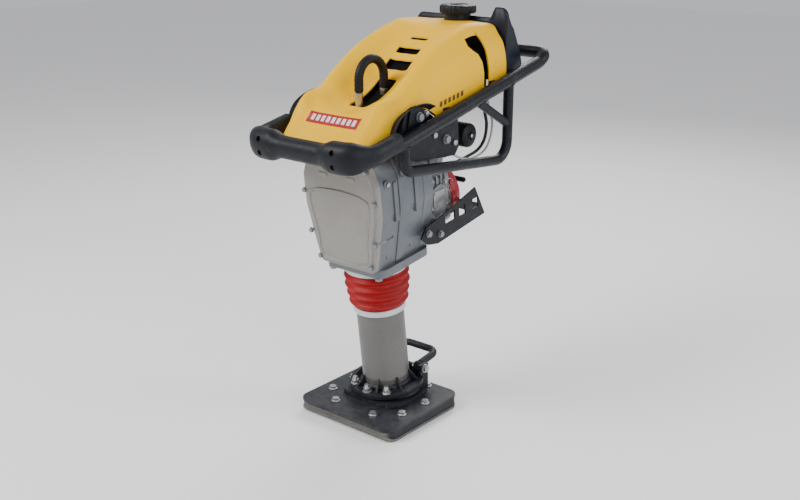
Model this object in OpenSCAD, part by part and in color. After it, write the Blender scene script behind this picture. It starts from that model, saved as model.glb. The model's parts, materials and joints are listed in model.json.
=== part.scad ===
// Jumping jack rammer: a spring-coupled tamping foot driven by a crank gear, with a tubular handle,
// a moulded hood and a small petrol engine behind the crankcase.
// Millimetres, +Z up, the front of the machine faces -Y, the origin is the centre of the sole on the ground.

/* [Shoe] */
// Width of the shoe across the machine
shoe_w = 284; // [276:1:330]
// Length of the shoe from toe to heel
shoe_l = 266; // [262:1:340]
// Thickness of the laminated core
core_t = 20; // [18:1:24]
// Thickness of the steel sole
sole_t = 6; // [5:1:7]

/* [Leg] */
// Forward lean of the leg in degrees
leg_lean = 7; // [6.5:0.25:7.5]
// Outer diameter of the grey guard tube
guard_d = 111; // [110:1:114]
// Outer diameter of the spring cylinder
cylinder_d = 90; // [88:1:90]
// Outer diameter of the bellows at its top
bellows_d = 151; // [148:1:154]

/* [Crank drive] */
// Throw of the crank pin
crank_r = 25; // [22:1:25]
// Distance between the eyes of the connecting rod
rod_len = 110; // [108:1:110]
// Teeth on the crank gear
gear_teeth = 60; // [60:12:60]
// Teeth on the pinion
pinion_teeth = 11; // [11:1:11]
// Tooth module
tooth_module = 2; // [2:1:2]

/* [Handle] */
// Distance from the middle plane to each handle rail
rail_x = 158; // [156:1:162]
// Outer diameter of the handle tube
tube_d = 30; // [28:1:31]
// Wall of the handle tube
tube_t = 2.5; // [2:0.5:3]

/* [Hidden] */
$fn = 64;

black = [0.09, 0.10, 0.13];
navy_black = [0.08, 0.11, 0.17];
yellow = [0.95, 0.80, 0.10];
warm_grey = [0.55, 0.53, 0.50];
blue_grey = [0.38, 0.42, 0.47];
zinc = [0.75, 0.76, 0.76];
steel = [0.60, 0.61, 0.62];
red = [0.75, 0.06, 0.08];

// Heights in the row frame
sole_top = sole_t;
core_top = sole_top + core_t;
plate_top = core_top + 6;

// The leg frame: origin under the leg, Z up along the leg, Y towards the engine
leg_foot_y = 36;
module leg_frame() {
    translate([0, leg_foot_y, 0]) rotate([leg_lean, 0, 0]) children();
}

// Heights along the leg
flange_z = 58;
flange_t = 12;
guard_top = 264;
cylinder_floor = flange_z + flange_t;
cylinder_top = 292;
cap_t = 12;
guide_bottom = 130;
neck_bottom = 352;
neck_top = 378;
case_bottom = 397;
piston_z = 178;
piston_t = 12;
crank_z = 545;
pin_z = crank_z - crank_r;
eye_z = pin_z - rod_len;
gear_distance = tooth_module * (gear_teeth + pinion_teeth) / 2;
engine_z = crank_z - gear_distance;

// Depths along the leg frame's Y
cover_front = -98;
cover_back = -80;
wall_front = 50;
wall_back = 74;
engine_face = 118;
block_back = 204;
fan_back = 254;

guard_r = guard_d / 2;
cylinder_r = cylinder_d / 2;
tube_r = tube_d / 2;
running_gap = 0.05;

// ---------- helpers ----------

module rounded_rect(w, l, r) {
    square([w - 2 * r, l], center = true);
    square([w, l - 2 * r], center = true);
    for (sx = [-1, 1], sy = [-1, 1]) translate([sx * (w / 2 - r), sy * (l / 2 - r)]) circle(r);
}

module ring(r_out, r_in, z0, z1) {
    translate([0, 0, z0]) difference() {
        cylinder(r = r_out, h = z1 - z0);
        translate([0, 0, -1]) cylinder(r = r_in, h = z1 - z0 + 2);
    }
}

// A cylinder along Y from y0 to y1 about the line (x, z)
module y_cylinder(r, y0, y1, x = 0, z = 0) {
    translate([x, y1, z]) rotate([90, 0, 0]) cylinder(r = r, h = y1 - y0);
}

// A cylinder along X from x0 to x1 about the line (y, z)
module x_cylinder(r, x0, x1, y = 0, z = 0) {
    translate([x0, y, z]) rotate([0, 90, 0]) cylinder(r = r, h = x1 - x0);
}

// A hexagon screw: head above z = 0, washer under it, shank below
module hex_screw(shank_r, shank_len, washer = true) {
    washer_t = washer ? 0.4 * shank_r : 0;
    if (washer) cylinder(r = 2.1 * shank_r, h = washer_t);
    translate([0, 0, washer_t]) cylinder(r = 1.75 * shank_r, h = 1.2 * shank_r, $fn = 6);
    translate([0, 0, -shank_len]) cylinder(r = shank_r, h = shank_len + washer_t + 0.1);
}

function unit(v) = v / norm(v);

function any_normal(d) = unit(cross(d, abs(d[0]) < 0.9 ? [1, 0, 0] : [0, 1, 0]));
function bend_angle(p, i) = acos(unit(p[i] - p[i - 1]) * unit(p[i + 1] - p[i]));
function bend_set(p, i, bend) = i == 0 || i == len(p) - 1 ? 0 : bend * tan(bend_angle(p, i) / 2);

// Points along a polyline whose corners are bent to the given radius
function bend_arc(p, i, bend, steps) =
    let (
        d1 = unit(p[i] - p[i - 1]),
        d2 = unit(p[i + 1] - p[i]),
        n = unit(d2 - (d2 * d1) * d1),
        centre = p[i] - d1 * bend_set(p, i, bend) + n * bend,
        turn = bend_angle(p, i)
    )
    [for (k = [0 : steps]) centre + bend * (d1 * sin(turn * k / steps) - n * cos(turn * k / steps))];
function bent_path(p, bends, steps) = concat(
    [p[0]],
    [for (i = [1 : len(p) - 2]) each bend_arc(p, i, bends[i - 1], steps)],
    [p[len(p) - 1]]
);

// Catmull-Rom curve through hand-chosen points
function curve_point(p, i, t) =
    let (a = p[max(i - 1, 0)], b = p[i], c = p[i + 1], d = p[min(i + 2, len(p) - 1)])
    0.5 * (2 * b + (c - a) * t + (2 * a - 5 * b + 4 * c - d) * t * t
        + (3 * b - a - 3 * c + d) * t * t * t);
function curve(p, steps) = concat(
    [for (i = [0 : len(p) - 2], k = [0 : steps - 1]) curve_point(p, i, k / steps)],
    [p[len(p) - 1]]
);

// Sweeps a round section along a list of points, as one closed polyhedron
function sweep_normal(path, i, n) =
    let (d = unit(path[min(i + 1, len(path) - 1)] - path[max(i - 1, 0)]))
    unit(n - (n * d) * d);
function sweep_normals(path, i, n) =
    i >= len(path) ? [] : let (m = sweep_normal(path, i, n)) concat([m], sweep_normals(path, i + 1, m));
function sweep_points(path, r, sides) =
    let (normals = sweep_normals(path, 0, any_normal(unit(path[1] - path[0]))))
    [for (i = [0 : len(path) - 1], k = [0 : sides - 1])
        let (
            d = unit(path[min(i + 1, len(path) - 1)] - path[max(i - 1, 0)]),
            n = normals[i],
            a = 360 * k / sides
        )
        path[i] + r * (cos(a) * n + sin(a) * cross(d, n))];
function quad_pair(a, b, c, d) = [[a, b, c], [a, c, d]];
function sweep_walls(rings, sides, first, flip) =
    [for (i = [0 : rings - 2], k = [0 : sides - 1])
        let (
            a = first + i * sides + k,
            b = first + i * sides + (k + 1) % sides,
            c = b + sides,
            d = a + sides
        )
        each (flip ? quad_pair(a, b, c, d) : quad_pair(a, d, c, b))];
module swept_cord(path, r, sides) {
    last = (len(path) - 1) * sides;
    polyhedron(
        sweep_points(path, r, sides),
        concat(
            [[for (k = [0 : sides - 1]) k]],
            [[for (k = [sides - 1 : -1 : 0]) last + k]],
            sweep_walls(len(path), sides, 0, false)
        ),
        convexity = 4
    );
}

// A hollow tube along a path, open at both ends
module swept_tube(path, r_out, r_in, sides) {
    inner = len(path) * sides;
    last = (len(path) - 1) * sides;
    polyhedron(
        concat(sweep_points(path, r_out, sides), sweep_points(path, r_in, sides)),
        concat(
            sweep_walls(len(path), sides, 0, false),
            sweep_walls(len(path), sides, inner, true),
            [for (k = [0 : sides - 1]) let (m = (k + 1) % sides)
                each quad_pair(k, m, inner + m, inner + k)],
            [for (k = [0 : sides - 1]) let (m = (k + 1) % sides)
                each quad_pair(last + m, last + k, inner + last + k, inner + last + m)]
        ),
        convexity = 6
    );
}

// ---------- shoe and foot ----------

toe_r = 24;
module shoe_outline(inset = 0) {
    rounded_rect(shoe_w - 2 * inset, shoe_l - 2 * inset, 30 - inset / 2);
}

// Side profile of the shoe between two depths under the turned-up toe, extruded across the machine
module shoe_layer(depth_low, depth_high) {
    heel = shoe_l / 2 + 1;
    toe_y = -shoe_l / 2 + toe_r;
    arc = 60;
    steps = 8;
    centre_z = toe_r + sole_t;
    function at(depth, a) = [toe_y - (centre_z - depth) * sin(a), centre_z - (centre_z - depth) * cos(a)];
    low = [for (k = [0 : steps]) at(depth_low, arc * k / steps)];
    high = [for (k = [steps : -1 : 0]) at(depth_high, arc * k / steps)];
    rotate([90, 0, 90]) linear_extrude(height = shoe_w + 2, center = true)
        polygon(concat([[heel, depth_low]], low, high, [[heel, depth_high]]));
}

// Bolts through the shoe, mirrored left and right
shoe_bolt_at = [[58, -90], [108, -46], [112, 34], [58, 112]];
shoe_bolt_r = 5;
module shoe_bolt_places() {
    for (sx = [-1, 1], p = shoe_bolt_at) translate([sx * p[0], p[1], 0]) children();
}

module sole_plate() {
    color(steel) intersection() {
        shoe_layer(0, sole_t);
        linear_extrude(height = 60) shoe_outline();
    }
}

module shoe_core() {
    color([0.42, 0.38, 0.33]) difference() {
        intersection() {
            translate([0, 0, sole_top]) linear_extrude(height = core_t) shoe_outline(1.5);
            union() {
                translate([-shoe_w / 2, -shoe_l / 2 + toe_r, 0]) cube([shoe_w, shoe_l, 60]);
                translate([0, 0, 0.01]) shoe_layer(sole_t, core_top + 2);
            }
        }
        shoe_bolt_places() cylinder(r = shoe_bolt_r + 0.3, h = 60);
    }
}

module shoe_top_plate() {
    color(navy_black) difference() {
        translate([0, 0, core_top]) linear_extrude(height = plate_top - core_top) shoe_outline(0);
        shoe_bolt_places() cylinder(r = shoe_bolt_r + 0.3, h = 60);
    }
}

module shoe_bolts() {
    color(zinc) shoe_bolt_places() translate([0, 0, plate_top]) hex_screw(shoe_bolt_r, core_t + 5);
}

// Studs round the tilted flange of the foot casting, as angles about the leg
stud_angles = [-50, -87, -126, 62, 118];
stud_r = 5;
stud_circle = 76;
module stud_places() {
    leg_frame() for (a = stud_angles) rotate([0, 0, a]) translate([stud_circle, 0, 0]) children();
}

// Lugs that carry the lift handle at the back of the foot
lug_x = 66;
lug_y = 84;
lug_z = 100;

module foot_casting() {
    color(black) difference() {
        union() {
            translate([0, 22, plate_top]) linear_extrude(height = 12) rounded_rect(176, 148, 40);
            leg_frame() {
                translate([0, 0, flange_z - 22]) cylinder(r1 = 82, r2 = 66, h = 30);
                translate([0, 0, flange_z]) cylinder(r = 88, h = flange_t);
            }
            for (sx = [-1, 1]) translate([sx * lug_x - 5, lug_y - 14, plate_top + 2])
                cube([10, 28, lug_z - plate_top]);
        }
        translate([-150, -150, -20]) cube([300, 300, plate_top + 20]);
        leg_frame() translate([0, 0, cylinder_floor - 6]) cylinder(r = cylinder_r + 0.1, h = 20);
        stud_places() translate([0, 0, 20]) cylinder(r = stud_r + 0.2, h = 80);
        x_cylinder(5.2, -lug_x - 20, lug_x + 20, lug_y, lug_z - 8);
    }
}

module foot_nuts() {
    color(zinc) {
        stud_places() translate([0, 0, flange_z + flange_t]) {
            translate([0, 0, -16]) cylinder(r = stud_r, h = 34);
            cylinder(r = 11, h = 2);
            translate([0, 0, 2]) cylinder(r = 9, h = 8, $fn = 6);
        }
        for (sx = [-1, 1]) translate([sx * (lug_x + 5), lug_y, lug_z - 8])
            rotate([0, 90 * sx, 0]) hex_screw(5, 23);
    }
}

module guard_tube() {
    color([0.43, 0.43, 0.42]) leg_frame() ring(guard_r, guard_r - 3, cylinder_floor, guard_top);
}

module spring_cylinder() {
    color(steel) leg_frame() difference() {
        translate([0, 0, cylinder_floor - 5]) cylinder(r = cylinder_r, h = cylinder_top - cylinder_floor + 5);
        translate([0, 0, cylinder_floor]) cylinder(r = cylinder_r - 6, h = 300);
    }
}

module cylinder_cap() {
    color(steel) leg_frame() difference() {
        union() {
            translate([0, 0, cylinder_top]) cylinder(r = cylinder_r, h = cap_t);
            translate([0, 0, cylinder_top - 8]) cylinder(r = cylinder_r - 6.2, h = 8.1);
        }
        translate([0, 0, cylinder_top - 20]) cylinder(r = 12 + running_gap, h = 60);
    }
}

// One coil spring of round wire between two heights
module coil_spring(mean_r, wire_r, z0, z1, turns) {
    steps = 12;
    rings = turns * steps;
    low = z0 + wire_r + 0.5;
    high = z1 - wire_r - 0.5;
    path = [for (k = [0 : rings]) [mean_r * cos(360 * k / steps), mean_r * sin(360 * k / steps),
        low + (high - low) * k / rings]];
    swept_cord(path, wire_r, 8);
}

module lower_springs() {
    color(steel) leg_frame() {
        coil_spring(32, 4.5, cylinder_floor, piston_z, 5);
        coil_spring(19, 3, cylinder_floor, piston_z, 6);
    }
}

module upper_springs() {
    color(steel) leg_frame() {
        coil_spring(32, 4.5, piston_z + piston_t, cylinder_top - 8, 5);
        coil_spring(19, 3, piston_z + piston_t, cylinder_top - 8, 6);
    }
}

module lower_bellows_clamp() {
    color([0.82, 0.85, 0.84]) leg_frame() {
        ring(62, guard_r + 3.5, guard_top - 14, guard_top - 1);
        translate([-6, 61.6, guard_top - 11]) cube([12, 10, 9]);
    }
}

handle_bar_r = 7.5;
module foot_lift_handle() {
    pivot_z = lug_z - 8;
    arm_x = lug_x - 13;
    bar = bent_path([
        [-arm_x, lug_y + 8, pivot_z + 3], [-arm_x, lug_y + 72, pivot_z + 30],
        [arm_x, lug_y + 72, pivot_z + 30], [arm_x, lug_y + 8, pivot_z + 3]
    ], [24, 24], 6);
    color(black) {
        swept_cord(bar, handle_bar_r, 12);
        for (sx = [-1, 1]) difference() {
            x_cylinder(13, sx * arm_x - 7, sx * arm_x + 7, lug_y, pivot_z);
            x_cylinder(5.2, -lug_x - 20, lug_x + 20, lug_y, pivot_z);
        }
    }
}

module oil_plug() {
    color([0.80, 0.65, 0.25]) leg_frame() {
        y_cylinder(7, guard_r + 0.2, guard_r + 3, 0, 96);
        translate([0, guard_r + 9, 96]) rotate([90, 0, 0]) cylinder(r = 9, h = 6, $fn = 6);
    }
}

// ---------- plunger ----------

fork_base_z = 330;
module plunger_rod() {
    crotch_z = eye_z - 2 * crank_r - 20;
    color(steel) leg_frame() difference() {
        union() {
            translate([0, 0, piston_z + piston_t]) cylinder(r = 12, h = fork_base_z - piston_z - piston_t);
            translate([0, 0, piston_z - 24]) cylinder(r = 9, h = 60);
            translate([-16, -24, fork_base_z]) cube([32, 48, crotch_z - fork_base_z]);
            for (sy = [-1, 1]) translate([-14, sy * 19 - 5, fork_base_z]) cube([28, 10, eye_z + 8 - fork_base_z]);
            for (sy = [-1, 1]) y_cylinder(14, sy * 19 - 5, sy * 19 + 5, 0, eye_z);
        }
        y_cylinder(8.3, -40, 40, 0, eye_z);
    }
}

module plunger_piston() {
    color(steel) leg_frame() ring(cylinder_r - 7, 9 + running_gap, piston_z, piston_z + piston_t);
}

module piston_nut() {
    color(zinc) leg_frame() translate([0, 0, piston_z - 16]) difference() {
        cylinder(r = 15, h = 16, $fn = 6);
        translate([0, 0, -1]) cylinder(r = 9 + running_gap, h = 18);
    }
}

// ---------- guide, bellows ----------

neck_r = 65.5;
guide_r = 50.5;
flange_bolt_x = 68;
flange_bolt_y = 68;
module flange_bolt_places() {
    for (sx = [-1, 1], sy = [-1, 1]) translate([sx * flange_bolt_x, sy * flange_bolt_y, neck_top])
        rotate([180, 0, 0]) children();
}

module guide_cylinder() {
    color(blue_grey) leg_frame() difference() {
        union() {
            translate([0, 0, guide_bottom]) cylinder(r = guide_r, h = neck_top - guide_bottom);
            translate([0, 0, neck_bottom]) cylinder(r = neck_r, h = neck_top - neck_bottom);
            translate([0, 9.5, neck_top]) linear_extrude(height = case_bottom - neck_top)
                rounded_rect(176, 176, 26);
        }
        translate([0, 0, guide_bottom - 1]) cylinder(r = guide_r - 3, h = 400);
        flange_bolt_places() translate([0, 0, -40]) cylinder(r = 5.3, h = 60);
    }
}

module guide_bushes() {
    color([0.72, 0.55, 0.25]) leg_frame() {
        ring(guide_r - 3.05, cylinder_r + running_gap, guide_bottom + 2, guide_bottom + 34);
        ring(guide_r - 3.05, cylinder_r + running_gap, 216, 244);
    }
}

// Bellows: four convolutions between a wide top and a narrow bottom
folds = 4;
bellows_bottom = guard_top + 1;
function fold_r(t) = 68 + (bellows_d / 2 - 68) * min(1, 1.6 * t);
function fold_wave(t) = 4.2 * (1 - pow(abs(cos(180 * folds * t)), 1.6));
module bellows() {
    steps = 48;
    height = neck_bottom - bellows_bottom;
    outer = [for (k = [0 : steps]) let (t = k / steps)
        [fold_r(t) - 4.2 + fold_wave(t), bellows_bottom + height * t]];
    inner = [for (k = [steps : -1 : 0]) let (t = k / steps)
        [fold_r(t) - 7.2 + fold_wave(t), bellows_bottom + height * t]];
    color(red) leg_frame() {
        rotate_extrude() polygon(concat(outer, inner));
        ring(guard_r + 3.4, guard_r + running_gap, guard_top - 16, bellows_bottom + 3);
        ring(64, guard_r + 1, bellows_bottom, bellows_bottom + 3);
        ring(neck_r + 3.4, neck_r + running_gap, neck_bottom - 3, neck_bottom + 16);
        ring(bellows_d / 2 - 4, neck_r + 1, neck_bottom - 3, neck_bottom);
    }
}

module upper_bellows_clamp() {
    color([0.82, 0.85, 0.84]) leg_frame() {
        ring(72, neck_r + 3.5, neck_bottom + 2, neck_bottom + 15);
        translate([-6, 71.6, neck_bottom + 3]) cube([12, 9, 9]);
    }
}

// ---------- crankcase ----------

// Outline of the crankcase seen from the front, grown or shrunk by g
function case_outline(g) = [
    [-78 - g, case_bottom - g], [78 + g, case_bottom - g], [88 + g, 440], [106 + g, 530],
    [106 + g, 600], [90 + g, 640 + g], [62 + g, case_top + g], [-62 - g, case_top + g],
    [-90 - g, 640 + g], [-106 - g, 600], [-106 - g, 530], [-88 - g, 440]
];
cover_screw_at = [[74, 412], [94, 470], [101, 565], [84, 634], [30, 657]];
module cover_screw_places() {
    for (sx = [-1, 1], p = cover_screw_at) translate([sx * p[0], cover_front, p[1]])
        rotate([90, 0, 0]) children();
}
chamber_r = 54;
engine_bolt_x = 58;
module engine_bolt_places() {
    for (sx = [-1, 1], dz = [-44, 44]) translate([sx * engine_bolt_x, engine_face - 12, engine_z + dz])
        rotate([90, 0, 0]) children();
}
// Lugs on the crankcase for the rubber dampers, in the row frame: [y, z, radius]
damper_at = [[-38, 706, 44], [62, 664, 26]];
damper_bolt_at = [[-32, 727], [62, 664]];
damper_in = 112;
damper_out = 137.5;
case_top = 664;

module crankcase() {
    color(blue_grey) difference() {
        union() {
            leg_frame() {
                translate([0, 96, 0]) rotate([90, 0, 0]) linear_extrude(height = 96 - cover_back)
                    polygon(case_outline(0));
                y_cylinder(chamber_r + 9, wall_back, engine_face, 0, engine_z);
                for (sx = [-1, 1], dz = [-44, 44])
                    y_cylinder(11, wall_back, engine_face, sx * engine_bolt_x, engine_z + dz);
                for (sx = [-1, 1], y = [-40, 30]) translate([sx * 105 - 4, y, 508]) cube([8, 12, 90]);
                for (p = guard_bolt_at) x_cylinder(9, -guard_x, guard_x, p[0], p[1]);
            }
            for (p = damper_at) {
                x_cylinder(p[2] * 0.75, -damper_in, damper_in, p[0], p[1]);
                translate([-damper_in + 3, p[0] - 14, 600]) cube([2 * damper_in - 6, 28, p[1] - 600]);
            }
        }
        leg_frame() {
            intersection() {
                translate([0, wall_front, 0]) rotate([90, 0, 0]) linear_extrude(height = 300)
                    polygon(case_outline(-9));
                translate([-200, cover_back - 20, case_bottom + 9]) cube([400, 300, 400]);
            }
            cylinder(r = guide_r - 3, h = case_bottom + 20);
            y_cylinder(chamber_r, wall_back, engine_face + 10, 0, engine_z);
            y_cylinder(27 + running_gap, wall_front - 1, wall_back - 1, 0, crank_z);
            y_cylinder(20, wall_front - 1, wall_back + 1, 0, engine_z);
            cover_screw_places() translate([0, 0, -60]) cylinder(r = 3.3, h = 60);
            flange_bolt_places() translate([0, 0, -28]) cylinder(r = 5.3, h = 40);
            engine_bolt_places() translate([0, 0, -60]) cylinder(r = 4.3, h = 80);
            translate([-90, -120, case_top]) cube([180, 300, 120]);
            translate([-90, 96, 560]) cube([180, 80, 200]);
            for (sx = [-1, 1], p = guard_bolt_at) x_cylinder(4.3, sx * guard_x - 12, sx * guard_x + 12, p[0], p[1]);
        }
        for (p = damper_bolt_at) x_cylinder(5.3, -300, 300, p[0], p[1]);
    }
}

module front_cover() {
    color(warm_grey) leg_frame() difference() {
        union() {
            translate([0, cover_back - 0.1, 0]) rotate([90, 0, 0]) linear_extrude(height = 12)
                polygon(case_outline(1));
            translate([0, cover_back - 11, 0]) rotate([90, 0, 0]) linear_extrude(height = 7)
                polygon(case_outline(-4));
        }
        translate([0, cover_back, 0]) rotate([90, 0, 0]) translate([0, 0, -1]) linear_extrude(height = 9)
            polygon(case_outline(-14));
        cover_screw_places() translate([0, 0, -60]) cylinder(r = 3.3, h = 80);
    }
}

module cover_screws() {
    color(zinc) leg_frame() cover_screw_places() hex_screw(3, 34);
}

module housing_bolts() {
    color(zinc) {
        leg_frame() flange_bolt_places() hex_screw(5, 26);
        leg_frame() engine_bolt_places() translate([0, 0, -16]) cylinder(r = 4, h = 34);
        for (sx = [-1, 1], p = damper_bolt_at) translate([sx * (mount_x + 5), p[0], p[1]])
            rotate([0, 90 * sx, 0]) hex_screw(5, 62);
        for (sx = [-1, 1], p = guard_bolt_at) leg_frame() translate([sx * (guard_x + 4), p[0], p[1]])
            rotate([0, 90 * sx, 0]) hex_screw(4, 12);
    }
}

module bearing(r_out, r_in, y0, y1, z) {
    step = (r_out - r_in) * 0.3;
    translate([0, y1, z]) rotate([90, 0, 0]) {
        ring(r_out, r_out - step, 0, y1 - y0);
        ring(r_in + step, r_in, 0, y1 - y0);
        ring(r_out - step, r_in + step, 2, y1 - y0 - 2);
    }
}

module bearings() {
    color(steel) leg_frame() {
        bearing(27, 15 + running_gap, wall_front + 1, wall_front + 21, crank_z);
        bearing(19.9, 8 + running_gap, wall_front + 3, wall_front + 21, engine_z);
    }
}

// ---------- crank drive ----------

// Outline of a spur gear; turn shifts the teeth by a fraction of a pitch
module gear_outline(teeth, turn) {
    pitch = 360 / teeth;
    r = tooth_module * teeth / 2;
    tip = r + tooth_module * 0.92;
    root = r - tooth_module * 1.2;
    points = [for (k = [0 : teeth - 1]) let (a = (k + turn) * pitch) each [
        [root, a - 0.37 * pitch], [r, a - 0.235 * pitch], [tip, a - 0.11 * pitch],
        [tip, a + 0.11 * pitch], [r, a + 0.235 * pitch], [root, a + 0.37 * pitch]
    ]];
    polygon([for (p = points) [p[0] * sin(p[1]), p[0] * cos(p[1])]]);
}

gear_front = 30;
gear_back = 46;
module crank_gear() {
    color(steel) leg_frame() {
        difference() {
            union() {
                translate([0, gear_back, crank_z]) rotate([90, 0, 0])
                    linear_extrude(height = gear_back - gear_front) gear_outline(gear_teeth, 0);
                y_cylinder(15, gear_back, wall_front + 22, 0, crank_z);
                y_cylinder(20, gear_back, wall_front, 0, crank_z);
                y_cylinder(12, -15, gear_front + 1, 0, pin_z);
                y_cylinder(18, 14, gear_front + 1, 0, pin_z);
            }
            for (a = [0, 60, -60]) y_cylinder(12, 0, 60, 38 * sin(a), crank_z + 38 * cos(a));
        }
    }
}

module connecting_rod() {
    color(steel) leg_frame() difference() {
        union() {
            y_cylinder(21, -12, 12, 0, pin_z);
            y_cylinder(15, -12, 12, 0, eye_z);
            translate([-9, -7, eye_z]) cube([18, 14, rod_len]);
        }
        y_cylinder(12 + running_gap, -20, 20, 0, pin_z);
        y_cylinder(8 + running_gap, -20, 20, 0, eye_z);
    }
}

module wrist_pin() {
    color(zinc) leg_frame() difference() {
        y_cylinder(8, -12, 12, 0, eye_z);
        y_cylinder(4, -13, 13, 0, eye_z);
    }
}

drum_front = wall_back + 3;
module clutch_drum() {
    color(steel) leg_frame() difference() {
        union() {
            translate([0, gear_back + 1, engine_z]) rotate([90, 0, 0])
                linear_extrude(height = gear_back - gear_front + 2) gear_outline(pinion_teeth, 0.5);
            y_cylinder(8, gear_back, drum_front + 2, 0, engine_z);
            y_cylinder(48, drum_front, drum_front + 32, 0, engine_z);
        }
        y_cylinder(44, drum_front + 4, drum_front + 40, 0, engine_z);
    }
}

// ---------- engine ----------

shaft_r = 10;
module engine_crankshaft() {
    color(steel) leg_frame() y_cylinder(shaft_r, drum_front + 7, 236, 0, engine_z);
}

module flywheel() {
    color(blue_grey) leg_frame() difference() {
        union() {
            y_cylinder(60, 212, 226, 0, engine_z);
            for (k = [0 : 15]) translate([0, 0, engine_z]) rotate([0, 22.5 * k, 0])
                translate([34, 225, -1.5]) cube([24, 12, 3]);
        }
        y_cylinder(shaft_r + running_gap, 200, 240, 0, engine_z);
    }
}

module clutch_hub() {
    color(steel) leg_frame() difference() {
        y_cylinder(40, drum_front + 8, drum_front + 28, 0, engine_z);
        y_cylinder(shaft_r + running_gap, 0, 200, 0, engine_z);
        for (k = [0 : 2]) translate([0, drum_front + 18, engine_z]) rotate([0, 120 * k, 0])
            translate([26, 0, 0]) cube([30, 30, 4], center = true);
    }
}

block_x = 66;
block_low = 412;
block_high = 545;
module engine_block() {
    color([0.45, 0.48, 0.52]) leg_frame() difference() {
        union() {
            translate([0, engine_face, 0]) rotate([-90, 0, 0]) translate([0, -(block_low + block_high) / 2, 0])
                linear_extrude(height = block_back - engine_face)
                    rounded_rect(2 * block_x, block_high - block_low, 20);
            y_cylinder(70, block_back - 4.8, block_back, 0, engine_z);
            for (sx = [-1, 1], dz = [-44, 44])
                y_cylinder(11, engine_face, engine_face + 16, sx * engine_bolt_x, engine_z + dz);
            x_cylinder(34, block_x - 2, block_x + 7, 158, engine_z + 12);
            x_cylinder(11, block_x - 2, block_x + 9, 134, engine_z - 40);
        }
        y_cylinder(shaft_r + running_gap, 100, 220, 0, engine_z);
        y_cylinder(38, engine_face + 12, block_back - 12, 0, engine_z);
        engine_bolt_places() translate([0, 0, -60]) cylinder(r = 4.3, h = 80);
        x_cylinder(6.06, block_x - 20, block_x + 12, 134, engine_z - 40);
    }
}

cylinder_y = 160;
module engine_cylinder() {
    color([0.50, 0.52, 0.54]) leg_frame() difference() {
        union() {
            translate([0, cylinder_y, block_high]) cylinder(r = 34, h = 62);
            for (k = [0 : 6]) translate([0, cylinder_y, block_high + 6 + 8 * k])
                linear_extrude(height = 3) rounded_rect(92, 78, 14);
            translate([0, cylinder_y, block_high + 60]) linear_extrude(height = 22) rounded_rect(96, 80, 10);
        }
        translate([0, cylinder_y, block_high - 1]) cylinder(r = 24, h = 60);
        x_cylinder(6.2, -60, -34, cylinder_y, block_high + 72);
    }
}

module recoil_cover() {
    color(red) leg_frame() difference() {
        union() {
            y_cylinder(72, block_back, 236, 0, engine_z);
            translate([0, 244, engine_z]) rotate([90, 0, 0]) cylinder(r1 = 60, r2 = 72, h = 8);
            y_cylinder(44, 240, fan_back, 0, engine_z);
        }
        y_cylinder(68.2, block_back - 1, 238, 0, engine_z);
        y_cylinder(36, 237, fan_back - 4, 0, engine_z);
        for (k = [0 : 11]) translate([0, 0, engine_z]) rotate([0, 30 * k, 0])
            translate([53, 241, 0]) cube([10, 30, 6], center = true);
        y_cylinder(4.3, 230, 290, grip_x, grip_z);
    }
}

grip_x = 30;
grip_z = engine_z + 22;
module starter_grip() {
    color(black) leg_frame() {
        y_cylinder(3, fan_back - 3, fan_back + 6, grip_x, grip_z);
        x_cylinder(6.5, grip_x - 32, grip_x + 32, fan_back + 11, grip_z);
        for (sx = [-1, 1]) translate([grip_x + sx * 32, fan_back + 11, grip_z]) sphere(r = 6.5);
    }
}

module muffler() {
    color([0.30, 0.29, 0.28]) leg_frame() {
        difference() {
            translate([-128, cylinder_y - 42, 546]) cube([74, 84, 56]);
            translate([-124, cylinder_y - 38, 550]) cube([66, 76, 48]);
            y_cylinder(9, 100, cylinder_y - 30, -92, 576);
        }
        difference() {
            x_cylinder(14, -54, -46, cylinder_y, 576);
            x_cylinder(9, -56, -40, cylinder_y, 576);
        }
    }
}

module spark_plug() {
    color([0.85, 0.85, 0.82]) leg_frame() {
        x_cylinder(6, -48, -36, cylinder_y, block_high + 72);
        x_cylinder(10, -53, -48, cylinder_y, block_high + 72);
        x_cylinder(9, -78, -53, cylinder_y, block_high + 72);
    }
}

// The carburettor body lies along Y beside the cylinder
carb_x = 64;
carb_z = 588;
module carburettor() {
    color([0.62, 0.63, 0.62]) leg_frame() difference() {
        union() {
            y_cylinder(13, 140, 186, carb_x, carb_z);
            x_cylinder(12, 46.3, carb_x, cylinder_y, carb_z);
            translate([carb_x, cylinder_y, carb_z - 34]) cylinder(r = 14, h = 26);
            translate([carb_x - 14, 150, carb_z - 14]) cube([28, 22, 20]);
            x_cylinder(4, carb_x, carb_x + 22, 150, carb_z - 22);
            x_cylinder(4, carb_x + 8, carb_x + 24, 168, carb_z + 12);
            x_cylinder(2.5 - running_gap, carb_x + 10, carb_x + 20, 178, carb_z + 4);
            x_cylinder(2.5 - running_gap, carb_x + 10, carb_x + 20, 150, carb_z + 6);
        }
        y_cylinder(9, 139, 187, carb_x, carb_z);
        x_cylinder(2, carb_x, carb_x + 30, 150, carb_z - 22);
    }
}

filter_x = 78;
filter_y = 244;
filter_z = 618;
module intake_elbow() {
    color(black) leg_frame() difference() {
        union() {
            y_cylinder(13.5, 186, 206, carb_x, carb_z);
            translate([carb_x, 206, carb_z]) sphere(r = 15);
            translate([carb_x, 206, carb_z]) rotate([-35.5, 0, 0]) cylinder(r = 13, h = 24);
        }
        y_cylinder(9, 180, 204, carb_x, carb_z);
        x_cylinder(28.05, filter_x - 30, filter_x + 40, filter_y, filter_z);
    }
}

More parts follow.
